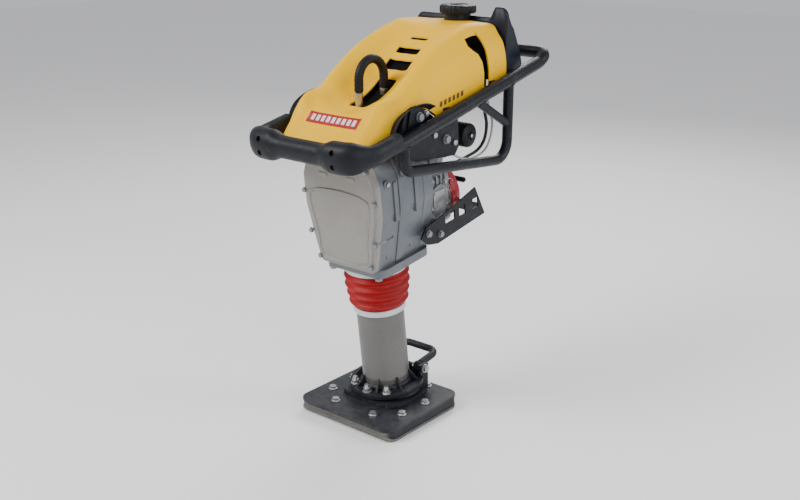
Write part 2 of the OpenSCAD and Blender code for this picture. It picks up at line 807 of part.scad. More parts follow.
module air_filter() {
    color(black) leg_frame() {
        difference() {
            x_cylinder(28, filter_x - 28, filter_x + 22, filter_y, filter_z);
            x_cylinder(24, filter_x - 24, filter_x + 18, filter_y, filter_z);
        }
        x_cylinder(6, filter_x + 22, filter_x + 28, filter_y, filter_z);
    }
}

module oil_dipstick() {
    color(black) leg_frame() {
        x_cylinder(6, block_x - 10, block_x + 9.4, 134, engine_z - 40);
        x_cylinder(10, block_x + 9.4, block_x + 15, 134, engine_z - 40);
        translate([block_x + 14, 129, engine_z - 48]) cube([9, 10, 16]);
    }
}

guard_x = 104;
guard_bolt_at = [[108, 424], [66, 440]];
module engine_guard() {
    side = [[40, 436], [62, 414], [98, 404], [282, 414], [250, 490], [150, 470], [60, 456]];
    color(black) leg_frame() difference() {
        union() {
            for (sx = [-1, 1]) translate([sx * guard_x - 2 + 2 * sx, 0, 0])
                rotate([90, 0, 90]) linear_extrude(height = 4) polygon(side);
            translate([-guard_x - 1, 124, 407]) cube([2 * guard_x + 2, 20, 4]);
            translate([0, 276, 418]) rotate([20, 0, 0]) translate([-guard_x - 1, -6, 0])
                cube([2 * guard_x + 2, 4, 30]);
        }
        for (h = [[130, 36], [183, 24], [236, 22]])
            translate([-200, h[0], 440]) cube([400, h[1], 24]);
        for (p = guard_bolt_at) x_cylinder(4.3, -200, 200, p[0], p[1]);
    }
}

module choke_lever() {
    color(black) leg_frame() difference() {
        union() {
            x_cylinder(6, carb_x + 14.4, carb_x + 18, 178, carb_z + 4);
            translate([carb_x + 14.4, 176, carb_z + 4]) cube([3.6, 5, 26]);
        }
        x_cylinder(2.5, carb_x, carb_x + 40, 178, carb_z + 4);
    }
}

module fuel_valve_lever() {
    color(red) leg_frame() difference() {
        union() {
            x_cylinder(6, carb_x + 14.4, carb_x + 19, 150, carb_z + 6);
            translate([carb_x + 14.4, 126, carb_z + 3]) cube([4.6, 26, 6]);
        }
        x_cylinder(2.5, carb_x, carb_x + 40, 150, carb_z + 6);
    }
}

// ---------- handle ----------

front_y = -238;
front_z = 668;
rear_y = 430;
rear_z = 812;
knee_y = -108;
knee_z = 684;
rise_y = 398;
rise_z = 793;
loop_low_z = 583;
loop_back_y = 276;
function rail_z(y) = knee_z + (rise_z - knee_z) * (y - knee_y) / (rise_y - knee_y);

// One bent tube whose two ends meet inside the front bumper
handle_path = bent_path([
    [0.2, front_y, front_z], [rail_x, front_y, front_z], [rail_x, knee_y, knee_z],
    [rail_x, rise_y, rise_z], [rail_x, rear_y, rear_z], [-rail_x, rear_y, rear_z],
    [-rail_x, rise_y, rise_z], [-rail_x, knee_y, knee_z], [-rail_x, front_y, front_z],
    [-0.2, front_y, front_z]
], [58, 120, 40, 20, 20, 40, 120, 58], 6);
module handle_loop() {
    color(navy_black) swept_tube(handle_path, tube_r, tube_r - tube_t, 16);
}

loop_tube_r = 12;
loop_front_y = knee_y + 8;
module side_loops() {
    color(navy_black) for (s = [-1, 1]) {
        swept_tube(bent_path([
            [s * rail_x, loop_back_y, rail_z(loop_back_y) - tube_r + 1],
            [s * rail_x, loop_back_y, loop_low_z],
            [s * rail_x, loop_front_y, loop_low_z + 40],
            [s * rail_x, loop_front_y, rail_z(loop_front_y) - tube_r + 1]
        ], [42, 30], 6), loop_tube_r, loop_tube_r - tube_t, 14);
        swept_tube([[s * rail_x, 160, rail_z(160) - tube_r + 1], [s * rail_x, loop_back_y - 10, 672]],
            loop_tube_r - 2, loop_tube_r - 4, 14);
    }
}

mount_x = rail_x - tube_r - 5.5;
module mount_plates() {
    plate = [
        [-86, 672], [-72, rail_z(-72) - 4], [-66, 716], [-60, 744], [-38, 752], [-14, 742],
        [-6, rail_z(-6) - 4], [104, rail_z(104) - 10], [110, 640], [96, 622], [-40, 632], [-78, 648]
    ];
    color(black) difference() {
        for (sx = [-1, 1]) translate([sx * (mount_x + 2.5) - 2.5, 0, 0])
            rotate([90, 0, 90]) linear_extrude(height = 5) polygon(plate);
        for (p = damper_bolt_at) x_cylinder(5.3, -300, 300, p[0], p[1]);
    }
}

// Four bonded rubber blocks carry the handle, and four small pads hold the hood off the rails
module rubber_dampers() {
    color(black) {
        difference() {
            for (sx = [-1, 1], p = damper_at)
                translate([sx * (damper_in + damper_out) / 2, p[0], p[1]]) rotate([0, 90, 0])
                    cylinder(r = p[2], h = damper_out - damper_in, center = true);
            for (p = damper_bolt_at) x_cylinder(5.3, -300, 300, p[0], p[1]);
        }
        for (sx = [-1, 1], y = [66, 236]) translate([sx * 140.5, y, rail_z(y) + 5])
            cube([4.8, 20, 12], center = true);
    }
}

// Radius of the bumper at a distance x from the middle: a waist between two round ends
bumper_half = 144;
waist_r = 23.5;
bulge_r = 34;
function smooth(t) = t <= 0 ? 0 : t >= 1 ? 1 : t * t * (3 - 2 * t);
function bumper_r(x) = waist_r + (bulge_r - waist_r) * smooth((x - 58) / 36)
    - (bulge_r - 12) * (1 - sqrt(max(0, 1 - pow(max(0, (x - 112) / (bumper_half - 112)), 2))));
module front_bumper() {
    steps = 40;
    half = [for (k = [0 : steps]) let (x = bumper_half * k / steps) [bumper_r(x), x]];
    other = [for (k = [steps : -1 : 1]) [half[k][0], -half[k][1]]];
    color(black) difference() {
        translate([0, front_y, front_z + 2]) rotate([0, 90, 0])
            rotate_extrude() polygon(concat([[0, -bumper_half]], other, half, [[0, bumper_half]]));
        x_cylinder(tube_r + 0.3, -125, 125, front_y, front_z);
        for (sx = [-1, 1]) translate([sx * 165, front_y + 32, front_z + 2])
            cube([130, 100, 2 * tube_r + 6], center = true);
        translate([0, front_y + 84, front_z]) cube([400, 100, 200], center = true);
    }
}

// ---------- hood ----------

// Stations from nose to rear: [y, middle height, ridge height, ridge half width, hem height, hem half width]
hood_stations = [
    [-204, 657, 663, 92, 648, 96],
    [-194, 668, 676, 104, 648, 110],
    [-165, 698, 707, 112, 650, 124],
    [-132, 729, 754, 117, 658, 132],
    [-96, 734, 767, 119, 670, 137],
    [-70, 739, 773, 119, 679, 138],
    [-24, 748, 804, 120, 694, 138],
    [14, 769, 829, 121, 708, 138],
    [40, 789, 843, 121, 716, 138],
    [60, 806, 853, 121, 721, 138],
    [78, 821, 861, 121, 725, 138],
    [96, 836, 868, 120, 729, 138],
    [114, 850, 874, 120, 733, 138],
    [134, 860, 880, 119, 737, 138],
    [152, 867, 885, 118, 741, 138],
    [204, 887, 892, 115, 751, 137],
    [228, 891, 891, 114, 756, 137],
    [250, 892, 888, 112, 762, 136]
];
hood_t = 4;

// Half section from the middle to the hem: blend from middle to ridge, then the side down to the hem
function hood_half(s, t) = let (w = s[3] - t, top = s[2] - t, mid = s[1] - t, drop = top - s[4]) [
    [0, mid],
    [0.24 * w, mid + 0.02 * (top - mid)],
    [0.47 * w, mid + 0.32 * (top - mid)],
    [0.66 * w, mid + 0.82 * (top - mid)],
    [0.82 * w, top],
    [0.93 * w, top - 0.05 * drop],
    [w, top - 0.16 * drop],
    [0.3 * w + 0.7 * (s[5] - t), top - 0.27 * drop],
    [s[5] - t, s[4] + 0.40 * drop],
    [s[5] - t, s[4]]
];
function hood_row(s, t) = let (h = hood_half(s, t), n = len(h)) concat(
    [for (i = [n - 1 : -1 : 1]) [-h[i][0], s[0], h[i][1]]],
    [for (i = [0 : n - 1]) [h[i][0], s[0], h[i][1]]]
);

// True where the hood has material between stations i and i + 1, in strip k across it
hood_columns = 18;
function side_of(k) = min(k, hood_columns - 1 - k);
function hood_slot(i, k) = (i >= 5 && i < 8) && side_of(k) == 8;
function hood_vent(i, k) = (i == 9 || i == 11 || i == 13) && side_of(k) == 8;
function hood_arch(i, k) = (i >= 4 && i < 7) && side_of(k) <= 1;
function hood_side_slot(i, k) = i == 15 && side_of(k) == 2;
function hood_has(i, k) =
    i >= 0 && i < len(hood_stations) - 1 && k >= 0 && k < hood_columns
    && !hood_slot(i, k) && !hood_vent(i, k) && !hood_arch(i, k) && !hood_side_slot(i, k);

module hood() {
    rows = len(hood_stations);
    across = hood_columns + 1;
    under = rows * across;
    function at(i, k) = i * across + k;
    outer = [for (s = hood_stations, p = hood_row(s, 0)) p];
    inner = [for (s = hood_stations, p = hood_row(s, hood_t)) p];
    skin = [for (i = [0 : rows - 2], k = [0 : hood_columns - 1]) if (hood_has(i, k))
        each concat(
            quad_pair(at(i, k), at(i + 1, k), at(i + 1, k + 1), at(i, k + 1)),
            quad_pair(under + at(i, k), under + at(i, k + 1), under + at(i + 1, k + 1), under + at(i + 1, k))
        )];
    function wall(a, b) = quad_pair(a, b, under + b, under + a);
    rim = [for (i = [0 : rows - 2], k = [0 : hood_columns - 1]) if (hood_has(i, k))
        each concat(
            hood_has(i - 1, k) ? [] : wall(at(i, k), at(i, k + 1)),
            hood_has(i + 1, k) ? [] : wall(at(i + 1, k + 1), at(i + 1, k)),
            hood_has(i, k - 1) ? [] : wall(at(i + 1, k), at(i, k)),
            hood_has(i, k + 1) ? [] : wall(at(i, k + 1), at(i + 1, k + 1))
        )];
    color(yellow) polyhedron(concat(outer, inner), concat(skin, rim), convexity = 8);
}

tank_front = 254;
tank_half = 132;
// Side profile of the tank, then of the raised shoulder at its right end
tank_profile = [
    [tank_front, 772], [332, 772], [347, 786], [347, 806], [340, 850], [325, 896], [302, 906], [tank_front, 906]
];
shoulder_profile = [[tank_front, 880], [tank_front, 914], [266, 926], [296, 924], [318, 904], [330, 880]];
module profile_bar(profile, x0, x1) {
    translate([x0, 0, 0]) rotate([90, 0, 90]) linear_extrude(height = x1 - x0) polygon(profile);
}
module fuel_tank() {
    cavity = [for (p = tank_profile) [300 + (p[0] - 300) * 0.88, 840 + (p[1] - 840) * 0.93]];
    color(navy_black) difference() {
        union() {
            profile_bar(tank_profile, -tank_half, tank_half);
            profile_bar(shoulder_profile, 96, tank_half);
            for (sx = [-1, 1]) translate([sx * 137 - 5.8, 270, 766]) cube([11.6, 58, 18]);
            translate([0, 290, 880]) cylinder(r = 30, h = 32);
        }
        translate([0, 290, 845]) cylinder(r = 24, h = 80);
        profile_bar(cavity, -tank_half + 4, tank_half - 4);
    }
}

module fuel_cap() {
    color(black) difference() {
        union() {
            translate([0, 290, 906.4]) cylinder(r = 40, h = 19);
            for (k = [0 : 11]) translate([0, 290, 906.4]) rotate([0, 0, 30 * k])
                translate([38, -5, 0]) cube([5, 10, 16]);
        }
        translate([0, 290, 890]) cylinder(r = 30.5, h = 22.4);
    }
}

// ---------- lifting bow ----------

bow_front = -60;
bow_back = 22;
bow_top = 834;
bow_mid = (bow_front + bow_back) / 2;
bow_r = (bow_back - bow_front) / 2;
// Height of the top of the crankcase at a depth y
function top_z(y) = case_top / cos(leg_lean) + (y - leg_foot_y) * tan(leg_lean);
// The bow is two upright legs joined by a half circle
module bow_bar(r, low) {
    for (y = [bow_front, bow_back]) translate([0, y, low]) cylinder(r = r, h = bow_top - bow_r - low);
    translate([0, bow_mid, bow_top - bow_r]) rotate([90, 0, 90])
        rotate_extrude(angle = 180) translate([bow_r, 0]) circle(r);
}

module lift_bow() {
    color(zinc) union() {
        bow_bar(5, top_z(bow_back) + 3);
        for (y = [bow_front, bow_back]) translate([0, y, top_z(y) + 4]) cylinder(r = 9, h = 20);
        leg_frame() translate([-16, -34, case_top]) cube([32, 122, 8]);
    }
}

module lift_sleeve() {
    color(black) difference() {
        bow_bar(10.2, 766);
        bow_bar(5.2, 700);
    }
}

// ---------- controls and lines ----------

throttle_y = 362;
module throttle_bracket() {
    z = rail_z(throttle_y);
    color(black) difference() {
        union() {
            translate([-rail_x, throttle_y, z]) rotate([12, 0, 0]) translate([-21, -16, -21]) cube([42, 32, 42]);
            translate([-rail_x + 18, throttle_y - 12, z - 4]) cube([18, 24, 22]);
        }
        translate([-rail_x, rise_y, rise_z]) rotate([atan((rise_z - knee_z) / (rise_y - knee_y)), 0, 0])
            y_cylinder(tube_r + running_gap, -200, 60);
    }
}

module throttle_lever() {
    z = rail_z(throttle_y);
    color(red) {
        translate([-rail_x + 28, throttle_y, z + 18.4]) cylinder(r = 6.6, h = 7);
        translate([-rail_x + 24.5, throttle_y, z + 18.4]) cube([7, 34, 6]);
        translate([-rail_x + 28, throttle_y + 36, z + 18.4]) cylinder(r = 8, h = 9);
    }
}

// Route of the fuel hose from the tank to the carburettor
fuel_route = [
    [70, 296, 771.9], [72, 294, 752], [90, 276, 722], [102, 262, 692], [106, 266, 660], [104, 262, 626],
    [102, 240, 604], [100, 200, 594], [99, 160, 588], [97, 132, 582], [96, 116.2, 580.2], [86.4, 115.9, 580.06]
];
// Route of the throttle cable from the lever to the carburettor
cable_route = [
    [-131, 362, 781.1], [-130, 358, 764], [-110, 335, 752], [-60, 300, 748], [0, 284, 746], [60, 272, 742],
    [102, 264, 728], [116, 262, 696], [118, 272, 660], [116, 262, 618], [113, 236, 596], [111, 190, 592],
    [109, 154, 602], [100, 130.5, 615.6], [88.1, 129.6, 616]
];

module fuel_hose() {
    color(black) swept_cord(curve(fuel_route, 5), 3.8, 8);
}

module throttle_cable() {
    color([0.75, 0.76, 0.78]) swept_cord(curve(cable_route, 5), 2.6, 8);
}

sole_plate();
shoe_core();
shoe_top_plate();
shoe_bolts();
foot_casting();
foot_nuts();
guard_tube();
spring_cylinder();
cylinder_cap();
lower_springs();
upper_springs();
lower_bellows_clamp();
foot_lift_handle();
oil_plug();
plunger_rod();
plunger_piston();
piston_nut();
guide_cylinder();
guide_bushes();
bellows();
upper_bellows_clamp();
crankcase();
front_cover();
cover_screws();
housing_bolts();
bearings();
crank_gear();
connecting_rod();
wrist_pin();
clutch_drum();
engine_crankshaft();
flywheel();
clutch_hub();
engine_block();
engine_cylinder();
recoil_cover();
muffler();
spark_plug();
carburettor();
intake_elbow();
air_filter();
oil_dipstick();
engine_guard();
starter_grip();
choke_lever();
fuel_valve_lever();
handle_loop();
side_loops();
mount_plates();
rubber_dampers();
front_bumper();
hood();
fuel_tank();
fuel_cap();
lift_bow();
lift_sleeve();
throttle_bracket();
throttle_lever();
fuel_hose();
throttle_cable();
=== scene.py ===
import json
import math
import bmesh
import bpy
from mathutils import Matrix, Vector


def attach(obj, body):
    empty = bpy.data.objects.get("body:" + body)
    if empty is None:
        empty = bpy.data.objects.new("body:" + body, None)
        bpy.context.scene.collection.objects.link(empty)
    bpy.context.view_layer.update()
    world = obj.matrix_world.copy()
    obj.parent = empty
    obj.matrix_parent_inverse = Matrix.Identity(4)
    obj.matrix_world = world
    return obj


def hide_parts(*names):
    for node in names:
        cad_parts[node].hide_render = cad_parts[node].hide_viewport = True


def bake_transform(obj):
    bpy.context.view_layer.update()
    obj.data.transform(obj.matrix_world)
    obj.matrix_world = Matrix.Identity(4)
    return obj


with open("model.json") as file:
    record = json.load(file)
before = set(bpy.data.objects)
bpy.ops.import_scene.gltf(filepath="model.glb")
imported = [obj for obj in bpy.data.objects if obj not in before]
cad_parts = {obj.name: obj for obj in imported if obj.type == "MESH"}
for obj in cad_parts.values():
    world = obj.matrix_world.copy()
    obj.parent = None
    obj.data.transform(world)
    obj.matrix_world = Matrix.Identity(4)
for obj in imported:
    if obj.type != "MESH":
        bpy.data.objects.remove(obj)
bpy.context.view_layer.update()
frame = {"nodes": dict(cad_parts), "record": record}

LEAN = math.radians(7)
LEG = Matrix.Translation((0, 0.036, 0)) @ Matrix.Rotation(LEAN, 4, "X")
SIDES = ((1, "left"), (-1, "right"))

# Millimetres: the handle's rails, the hood's rear edge and the tank's filler neck
RAIL_X, RAIL_R = 158.0, 15.0
HOOD_REAR = 288
NECK_Y = 290

# Along the leg, in millimetres: the ends of the bellows' folds
FOLDS_LOW, FOLDS_HIGH = 275, 362

# In the leg's own frame, in millimetres: the height of the engine's shaft and the air filter's centre
SHAFT_Z = 474
FILTER = (0, 244, 618)

# The camera: direction in degrees, place in metres, lens in millimetres
AZIMUTH, ELEVATION = 39.6, 18.28
CAMERA_PLACE = (1.5472, -1.7924, 1.1781)
LENS = 49.05


def ease(x, a, b):
    """0 up to a, 1 from b on, and smooth between them."""
    t = max(0.0, min(1.0, (x - a) / (b - a)))
    return t * t * (3 - 2 * t)


def rail_z(y):
    """Height of the rails' axis at a depth."""
    return 684 + 109 * (y + 108) / 506


# ---------- materials ----------

def material(name, base, other, rough, metal=0.0, scale=9.0, bump=0.15, fine=240.0, dust=0.0,
             dust_top=0.05, coat=0.0, wear=0.0, wear_color=(0.45, 0.45, 0.44), bands=0.0, shine=0.5):
    """Two tones mixed by a broad noise, wear spots, dust near the floor, bump and uneven roughness."""
    m = bpy.data.materials.new(name)
    m.use_nodes = True
    n, links = m.node_tree.nodes, m.node_tree.links
    n.clear()
    out = n.new("ShaderNodeOutputMaterial")
    p = n.new("ShaderNodeBsdfPrincipled")
    links.new(p.outputs[0], out.inputs[0])
    p.inputs["Metallic"].default_value = metal
    p.inputs["Roughness"].default_value = rough
    p.inputs["Coat Weight"].default_value = coat
    p.inputs["Coat Roughness"].default_value = 0.18
    p.inputs["Specular IOR Level"].default_value = shine
    where = n.new("ShaderNodeTexCoord")

    def noise(s, detail=4.0):
        t = n.new("ShaderNodeTexNoise")
        t.inputs["Scale"].default_value = s
        t.inputs["Detail"].default_value = detail
        links.new(where.outputs["Object"], t.inputs["Vector"])
        return t.outputs["Fac"]

    def ranged(value, a, b, c=0.0, d=1.0):
        r = n.new("ShaderNodeMapRange")
        for k, v in zip(("From Min", "From Max", "To Min", "To Max"), (a, b, c, d)):
            r.inputs[k].default_value = v
        links.new(value, r.inputs["Value"])
        return r.outputs["Result"]

    def mix(fac, a, b):
        x = n.new("ShaderNodeMix")
        x.data_type = "RGBA"
        links.new(fac, x.inputs[0])
        for k, v in ((6, a), (7, b)):
            if isinstance(v, tuple):
                x.inputs[k].default_value = (*v, 1)
            else:
                links.new(v, x.inputs[k])
        return x.outputs[2]

    def product(a, b):
        x = n.new("ShaderNodeMath")
        x.operation = "MULTIPLY"
        for k, v in ((0, a), (1, b)):
            if isinstance(v, float):
                x.inputs[k].default_value = v
            else:
                links.new(v, x.inputs[k])
        return x.outputs[0]

    broad = noise(scale)
    color = mix(ranged(broad, 0.3, 0.7), base, other)
    if bands:
        w = n.new("ShaderNodeTexWave")
        w.bands_direction = "Z"
        w.inputs["Scale"].default_value = bands
        w.inputs["Distortion"].default_value = 1.5
        links.new(where.outputs["Object"], w.inputs["Vector"])
        color = mix(ranged(w.outputs["Fac"], 0.2, 0.8, 0.0, 0.75), color, tuple(0.35 * c for c in base))
    grain = noise(fine, 3.0)
    color = mix(ranged(grain, 0.35, 0.75, 0.0, 0.22), color, tuple(0.55 * c for c in base))
    if wear:
        spots = ranged(noise(scale * 6, 8.0), 0.60, 0.66, 0.0, wear)
        color = mix(spots, color, wear_color)
    if dust:
        xyz = n.new("ShaderNodeSeparateXYZ")
        links.new(where.outputs["Object"], xyz.inputs[0])
        low = ranged(xyz.outputs[2], 0.0, dust_top, dust, 0.0)
        color = mix(product(low, ranged(noise(60.0), 0.35, 0.65)), color, (0.33, 0.29, 0.24))
    links.new(color, p.inputs["Base Color"])
    links.new(ranged(noise(scale * 4), 0.25, 0.75, max(rough - 0.09, 0.04), min(rough + 0.1, 1.0)),
              p.inputs["Roughness"])
    b = n.new("ShaderNodeBump")
    b.inputs["Strength"].default_value = bump
    b.inputs["Distance"].default_value = 0.0006
    links.new(grain, b.inputs["Height"])
    links.new(b.outputs[0], p.inputs["Normal"])
    return m


M = {}


def paint(name, *tones, **look):
    """Adds a material for one of the record's slots."""
    M[name] = material(name, *tones, **look)


paint("worn_steel", (0.10, 0.10, 0.10), (0.17, 0.165, 0.16), 0.5, 0.8, dust=0.35, dust_top=0.02)
paint("laminate", (0.27, 0.25, 0.23), (0.20, 0.18, 0.165), 0.7, bump=0.4, dust=0.2, bands=62.0)
paint("shoe_black", (0.010, 0.013, 0.020), (0.019, 0.023, 0.031), 0.36, scale=14, wear=0.25,
      wear_color=(0.06, 0.06, 0.065), dust=0.22, dust_top=0.045, shine=0.25)
paint("zinc", (0.58, 0.58, 0.57), (0.42, 0.42, 0.42), 0.32, 0.95, scale=60, wear=0.2,
      wear_color=(0.25, 0.22, 0.18))
paint("cast_black", (0.010, 0.012, 0.016), (0.019, 0.021, 0.026), 0.46, scale=20, bump=0.6, fine=420,
      wear=0.3, wear_color=(0.10, 0.10, 0.10), shine=0.25)
paint("tube_grey", (0.125, 0.121, 0.115), (0.155, 0.150, 0.142), 0.42, 0.25, scale=7, bump=0.12)
paint("bright_steel", (0.55, 0.56, 0.57), (0.42, 0.43, 0.44), 0.24, 1.0, scale=20, bump=0.05)
paint("spring_steel", (0.16, 0.16, 0.17), (0.24, 0.24, 0.24), 0.35, 0.9, scale=30)
paint("clamp_pale", (0.62, 0.66, 0.65), (0.52, 0.56, 0.56), 0.35, 0.15, scale=30, bump=0.1)
paint("frame_black", (0.0055, 0.0065, 0.010), (0.009, 0.011, 0.016), 0.36, scale=10, bump=0.35, fine=700,
      wear=0.12, wear_color=(0.10, 0.10, 0.11), shine=0.22)
paint("brass", (0.55, 0.38, 0.14), (0.42, 0.28, 0.10), 0.32, 1.0, scale=40)
paint("bronze", (0.45, 0.28, 0.11), (0.36, 0.22, 0.09), 0.35, 1.0, scale=40)
paint("case_blue_grey", (0.125, 0.140, 0.160), (0.175, 0.185, 0.200), 0.42, 0.45, scale=16, bump=0.55,
      fine=330, wear=0.25, wear_color=(0.08, 0.08, 0.085))
paint("cover_grey", (0.245, 0.232, 0.215), (0.285, 0.270, 0.250), 0.44, 0.2, scale=10, bump=0.35, fine=330,
      wear=0.10, wear_color=(0.16, 0.15, 0.14))
paint("gear_steel", (0.36, 0.37, 0.39), (0.27, 0.28, 0.30), 0.3, 0.95, scale=30, bump=0.1)
paint("engine_cast", (0.20, 0.215, 0.235), (0.30, 0.31, 0.325), 0.42, 0.6, scale=26, bump=0.7, fine=300,
      wear=0.35, wear_color=(0.07, 0.07, 0.075))
paint("recoil_red", (0.33, 0.012, 0.022), (0.40, 0.02, 0.03), 0.28, scale=12, coat=0.4, bump=0.08,
      shine=0.3)
paint("muffler_brown", (0.12, 0.09, 0.07), (0.20, 0.16, 0.13), 0.55, 0.7, scale=18, bump=0.4, wear=0.3,
      wear_color=(0.24, 0.12, 0.06))
paint("boot_black", (0.008, 0.008, 0.009), (0.013, 0.013, 0.014), 0.5, scale=40, shine=0.25)
paint("carb_alloy", (0.45, 0.45, 0.44), (0.34, 0.34, 0.34), 0.36, 0.8, scale=50, bump=0.4)
paint("plastic_black", (0.006, 0.0065, 0.008), (0.010, 0.011, 0.013), 0.44, scale=18, bump=0.3, fine=600,
      shine=0.2)
paint("rubber_black", (0.007, 0.0075, 0.009), (0.012, 0.0125, 0.015), 0.52, scale=26, bump=0.35, shine=0.2)
paint("bumper_black", (0.007, 0.008, 0.011), (0.012, 0.014, 0.018), 0.44, scale=12, bump=0.5, fine=520,
      wear=0.15, wear_color=(0.08, 0.08, 0.09), shine=0.2)
paint("hood_yellow", (0.98, 0.56, 0.0), (0.94, 0.51, 0.0), 0.46, scale=5, bump=0.10, fine=420, coat=0.03,
      wear=0.04, wear_color=(0.55, 0.36, 0.02), shine=0.12)
paint("tank_navy", (0.006, 0.008, 0.016), (0.009, 0.012, 0.022), 0.40, scale=9, bump=0.3, fine=480,
      shine=0.22)
paint("hose_black", (0.012, 0.012, 0.014), (0.02, 0.02, 0.022), 0.42, scale=30, shine=0.25)
paint("cable_grey", (0.42, 0.44, 0.46), (0.34, 0.36, 0.38), 0.35, scale=30)
paint("bellows_red", (0.34, 0.004, 0.006), (0.26, 0.003, 0.005), 0.48, scale=8, coat=0.0, bump=0.15,
      shine=0.25)


def painted_sides(m):
    """Black paint on the faces that look along X, so that only the front and back edges show the layers."""
    n, links = m.node_tree.nodes, m.node_tree.links
    shader = next(q for q in n if q.type == "BSDF_PRINCIPLED")
    layered = shader.inputs["Base Color"].links[0].from_socket
    where, split = n.new("ShaderNodeTexCoord"), n.new("ShaderNodeSeparateXYZ")
    links.new(where.outputs["Normal"], split.inputs[0])
    size, side, mix = n.new("ShaderNodeMath"), n.new("ShaderNodeMapRange"), n.new("ShaderNodeMix")
    size.operation = "ABSOLUTE"
    links.new(split.outputs[0], size.inputs[0])
    side.inputs["From Min"].default_value, side.inputs["From Max"].default_value = 0.45, 0.75
    links.new(size.outputs[0], side.inputs["Value"])
    mix.data_type = "RGBA"
    mix.inputs[7].default_value = (0.012, 0.014, 0.019, 1)
    links.new(side.outputs[0], mix.inputs[0])
    links.new(layered, mix.inputs[6])
    links.new(mix.outputs[2], shader.inputs["Base Color"])


painted_sides(M["laminate"])
EXTRA = {}


def film(name, slot, *tones, **look):
    """Adds a material for a visual-only piece and keeps one of the record's slots beside it."""
    EXTRA[name] = (material(name, *tones, **look), slot)


film("decal_red", "bellows_red", (0.42, 0.008, 0.010), (0.38, 0.006, 0.008), 0.28, bump=0.03)
film("decal_white", "clamp_pale", (0.80, 0.79, 0.77), (0.74, 0.73, 0.71), 0.3, bump=0.03)
film("decal_dark", "plastic_black", (0.16, 0.07, 0.01), (0.13, 0.05, 0.01), 0.4, bump=0.03)
# Near-black and matte, darker than the other blacks: painted shade for the hollows inside the hood.
film("painted_shade_black", "plastic_black", (0.003, 0.003, 0.004), (0.005, 0.005, 0.006), 0.8, shine=0.1)

# ---------- mesh helpers (millimetres in, metres out) ----------


def make(name, verts, faces, mat, body="housing", leg=False, angle=35, ride=True, bevel=0.0):
    """A mesh piece. With leg=True its points are in the leaning leg's own frame."""
    me = bpy.data.meshes.new(name)
    me.from_pydata([Vector(v) * 0.001 for v in verts], [], faces)
    o = bpy.data.objects.new(name, me)
    bpy.context.collection.objects.link(o)
    if leg:
        me.transform(LEG)
    return finish_mesh(o, mat, body, angle, ride, bevel)


def finish_mesh(o, mat, body="housing", angle=35, ride=True, bevel=0.0):
    """Softens the edges sharper than angle, shades the rest smooth, gives the material and joins the body."""
    me = o.data
    bm = bmesh.new()
    bm.from_mesh(me)
    bmesh.ops.remove_doubles(bm, verts=bm.verts, dist=1e-6)
    bmesh.ops.recalc_face_normals(bm, faces=bm.faces)
    limit = math.radians(angle)
    if bevel:
        sharp = [e for e in bm.edges if len(e.link_faces) == 2 and e.calc_face_angle() > limit]
        bmesh.ops.bevel(bm, geom=sharp, offset=bevel * 0.001, segments=2, profile=0.6, affect="EDGES",
                        clamp_overlap=True)
    for f in bm.faces:
        f.smooth = True
    for e in bm.edges:
        e.smooth = len(e.link_faces) != 2 or e.calc_face_angle() < limit
    bm.to_mesh(me)
    bm.free()
    if mat in EXTRA:
        me.materials.append(EXTRA[mat][0])
    else:
        me.materials.append(M[mat])
    if ride:
        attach(o, body)
    return o


def bent(points, bends, steps=10):
    """A polyline whose corners are rounded to the given radii."""
    p = [Vector(q) for q in points]
    out = [p[0]]
    for i in range(1, len(p) - 1):
        a, b = (p[i] - p[i - 1]).normalized(), (p[i + 1] - p[i]).normalized()
        turn = a.angle(b)
        r = bends[i - 1]
        n = (b - b.dot(a) * a).normalized()
        centre = p[i] - a * r * math.tan(turn / 2) + n * r
        out += [centre + r * (a * math.sin(turn * k / steps) - n * math.cos(turn * k / steps))
                for k in range(steps + 1)]
    return out + [p[-1]]


def curve(points, steps=8):
    """A smooth curve through every point."""
    p = [Vector(q) for q in points]
    out = []
    for i in range(len(p) - 1):
        a, b, c, d = p[max(i - 1, 0)], p[i], p[i + 1], p[min(i + 2, len(p) - 1)]
        for k in range(steps):
            t = k / steps
            out.append(0.5 * (2 * b + (c - a) * t + (2 * a - 5 * b + 4 * c - d) * t * t
                              + (3 * b - a - 3 * c + d) * t ** 3))
    return out + [p[-1]]


def frames(path, up=(0, 0, 1)):
    """A point and two directions across the path at each of its points, without twist."""
    p = [Vector(q) for q in path]
    n = Vector(up)
    out = []
    for i in range(len(p)):
        d = (p[min(i + 1, len(p) - 1)] - p[max(i - 1, 0)]).normalized()
        if abs(n.dot(d)) > 0.98:
            n = Vector((1, 0, 0)) if abs(d.x) < 0.9 else Vector((0, 1, 0))
        n = (n - n.dot(d) * d).normalized()
        out.append((p[i], n.copy(), d.cross(n)))
    return out


def ring_faces(rings, k):
    """Faces that join closed rings of k points, one after another."""
    return [(i * k + j, i * k + (j + 1) % k, (i + 1) * k + (j + 1) % k, (i + 1) * k + j)
            for i in range(rings - 1) for j in range(k)]


def end_faces(rings, k):
    """The faces that close the first and the last ring."""
    return [tuple(range(k)), tuple(range((rings - 1) * k, rings * k))]


def grid_faces(rows, cols):
    """Faces of an open grid of points, row by row."""
    return [(j * cols + i, j * cols + i + 1, (j + 1) * cols + i + 1, (j + 1) * cols + i)
            for j in range(rows - 1) for i in range(cols - 1)]


def sweep(name, path, section, mat, **kw):
    """Sweeps a closed section, a list of (u, v) or a function of the ring number, along a path. Flat ends."""
    fr = frames(path, kw.pop("up", (0, 0, 1)))
    pick = section if callable(section) else (lambda i: section)
    k = len(pick(0))
    verts = [c + n * u + b * v for i, (c, n, b) in enumerate(fr) for (u, v) in pick(i)]
    return make(name, verts, ring_faces(len(fr), k) + end_faces(len(fr), k), mat, **kw)


def round_section(r, sides=24):
    return [(r * math.cos(2 * math.pi * k / sides), r * math.sin(2 * math.pi * k / sides))
            for k in range(sides)]


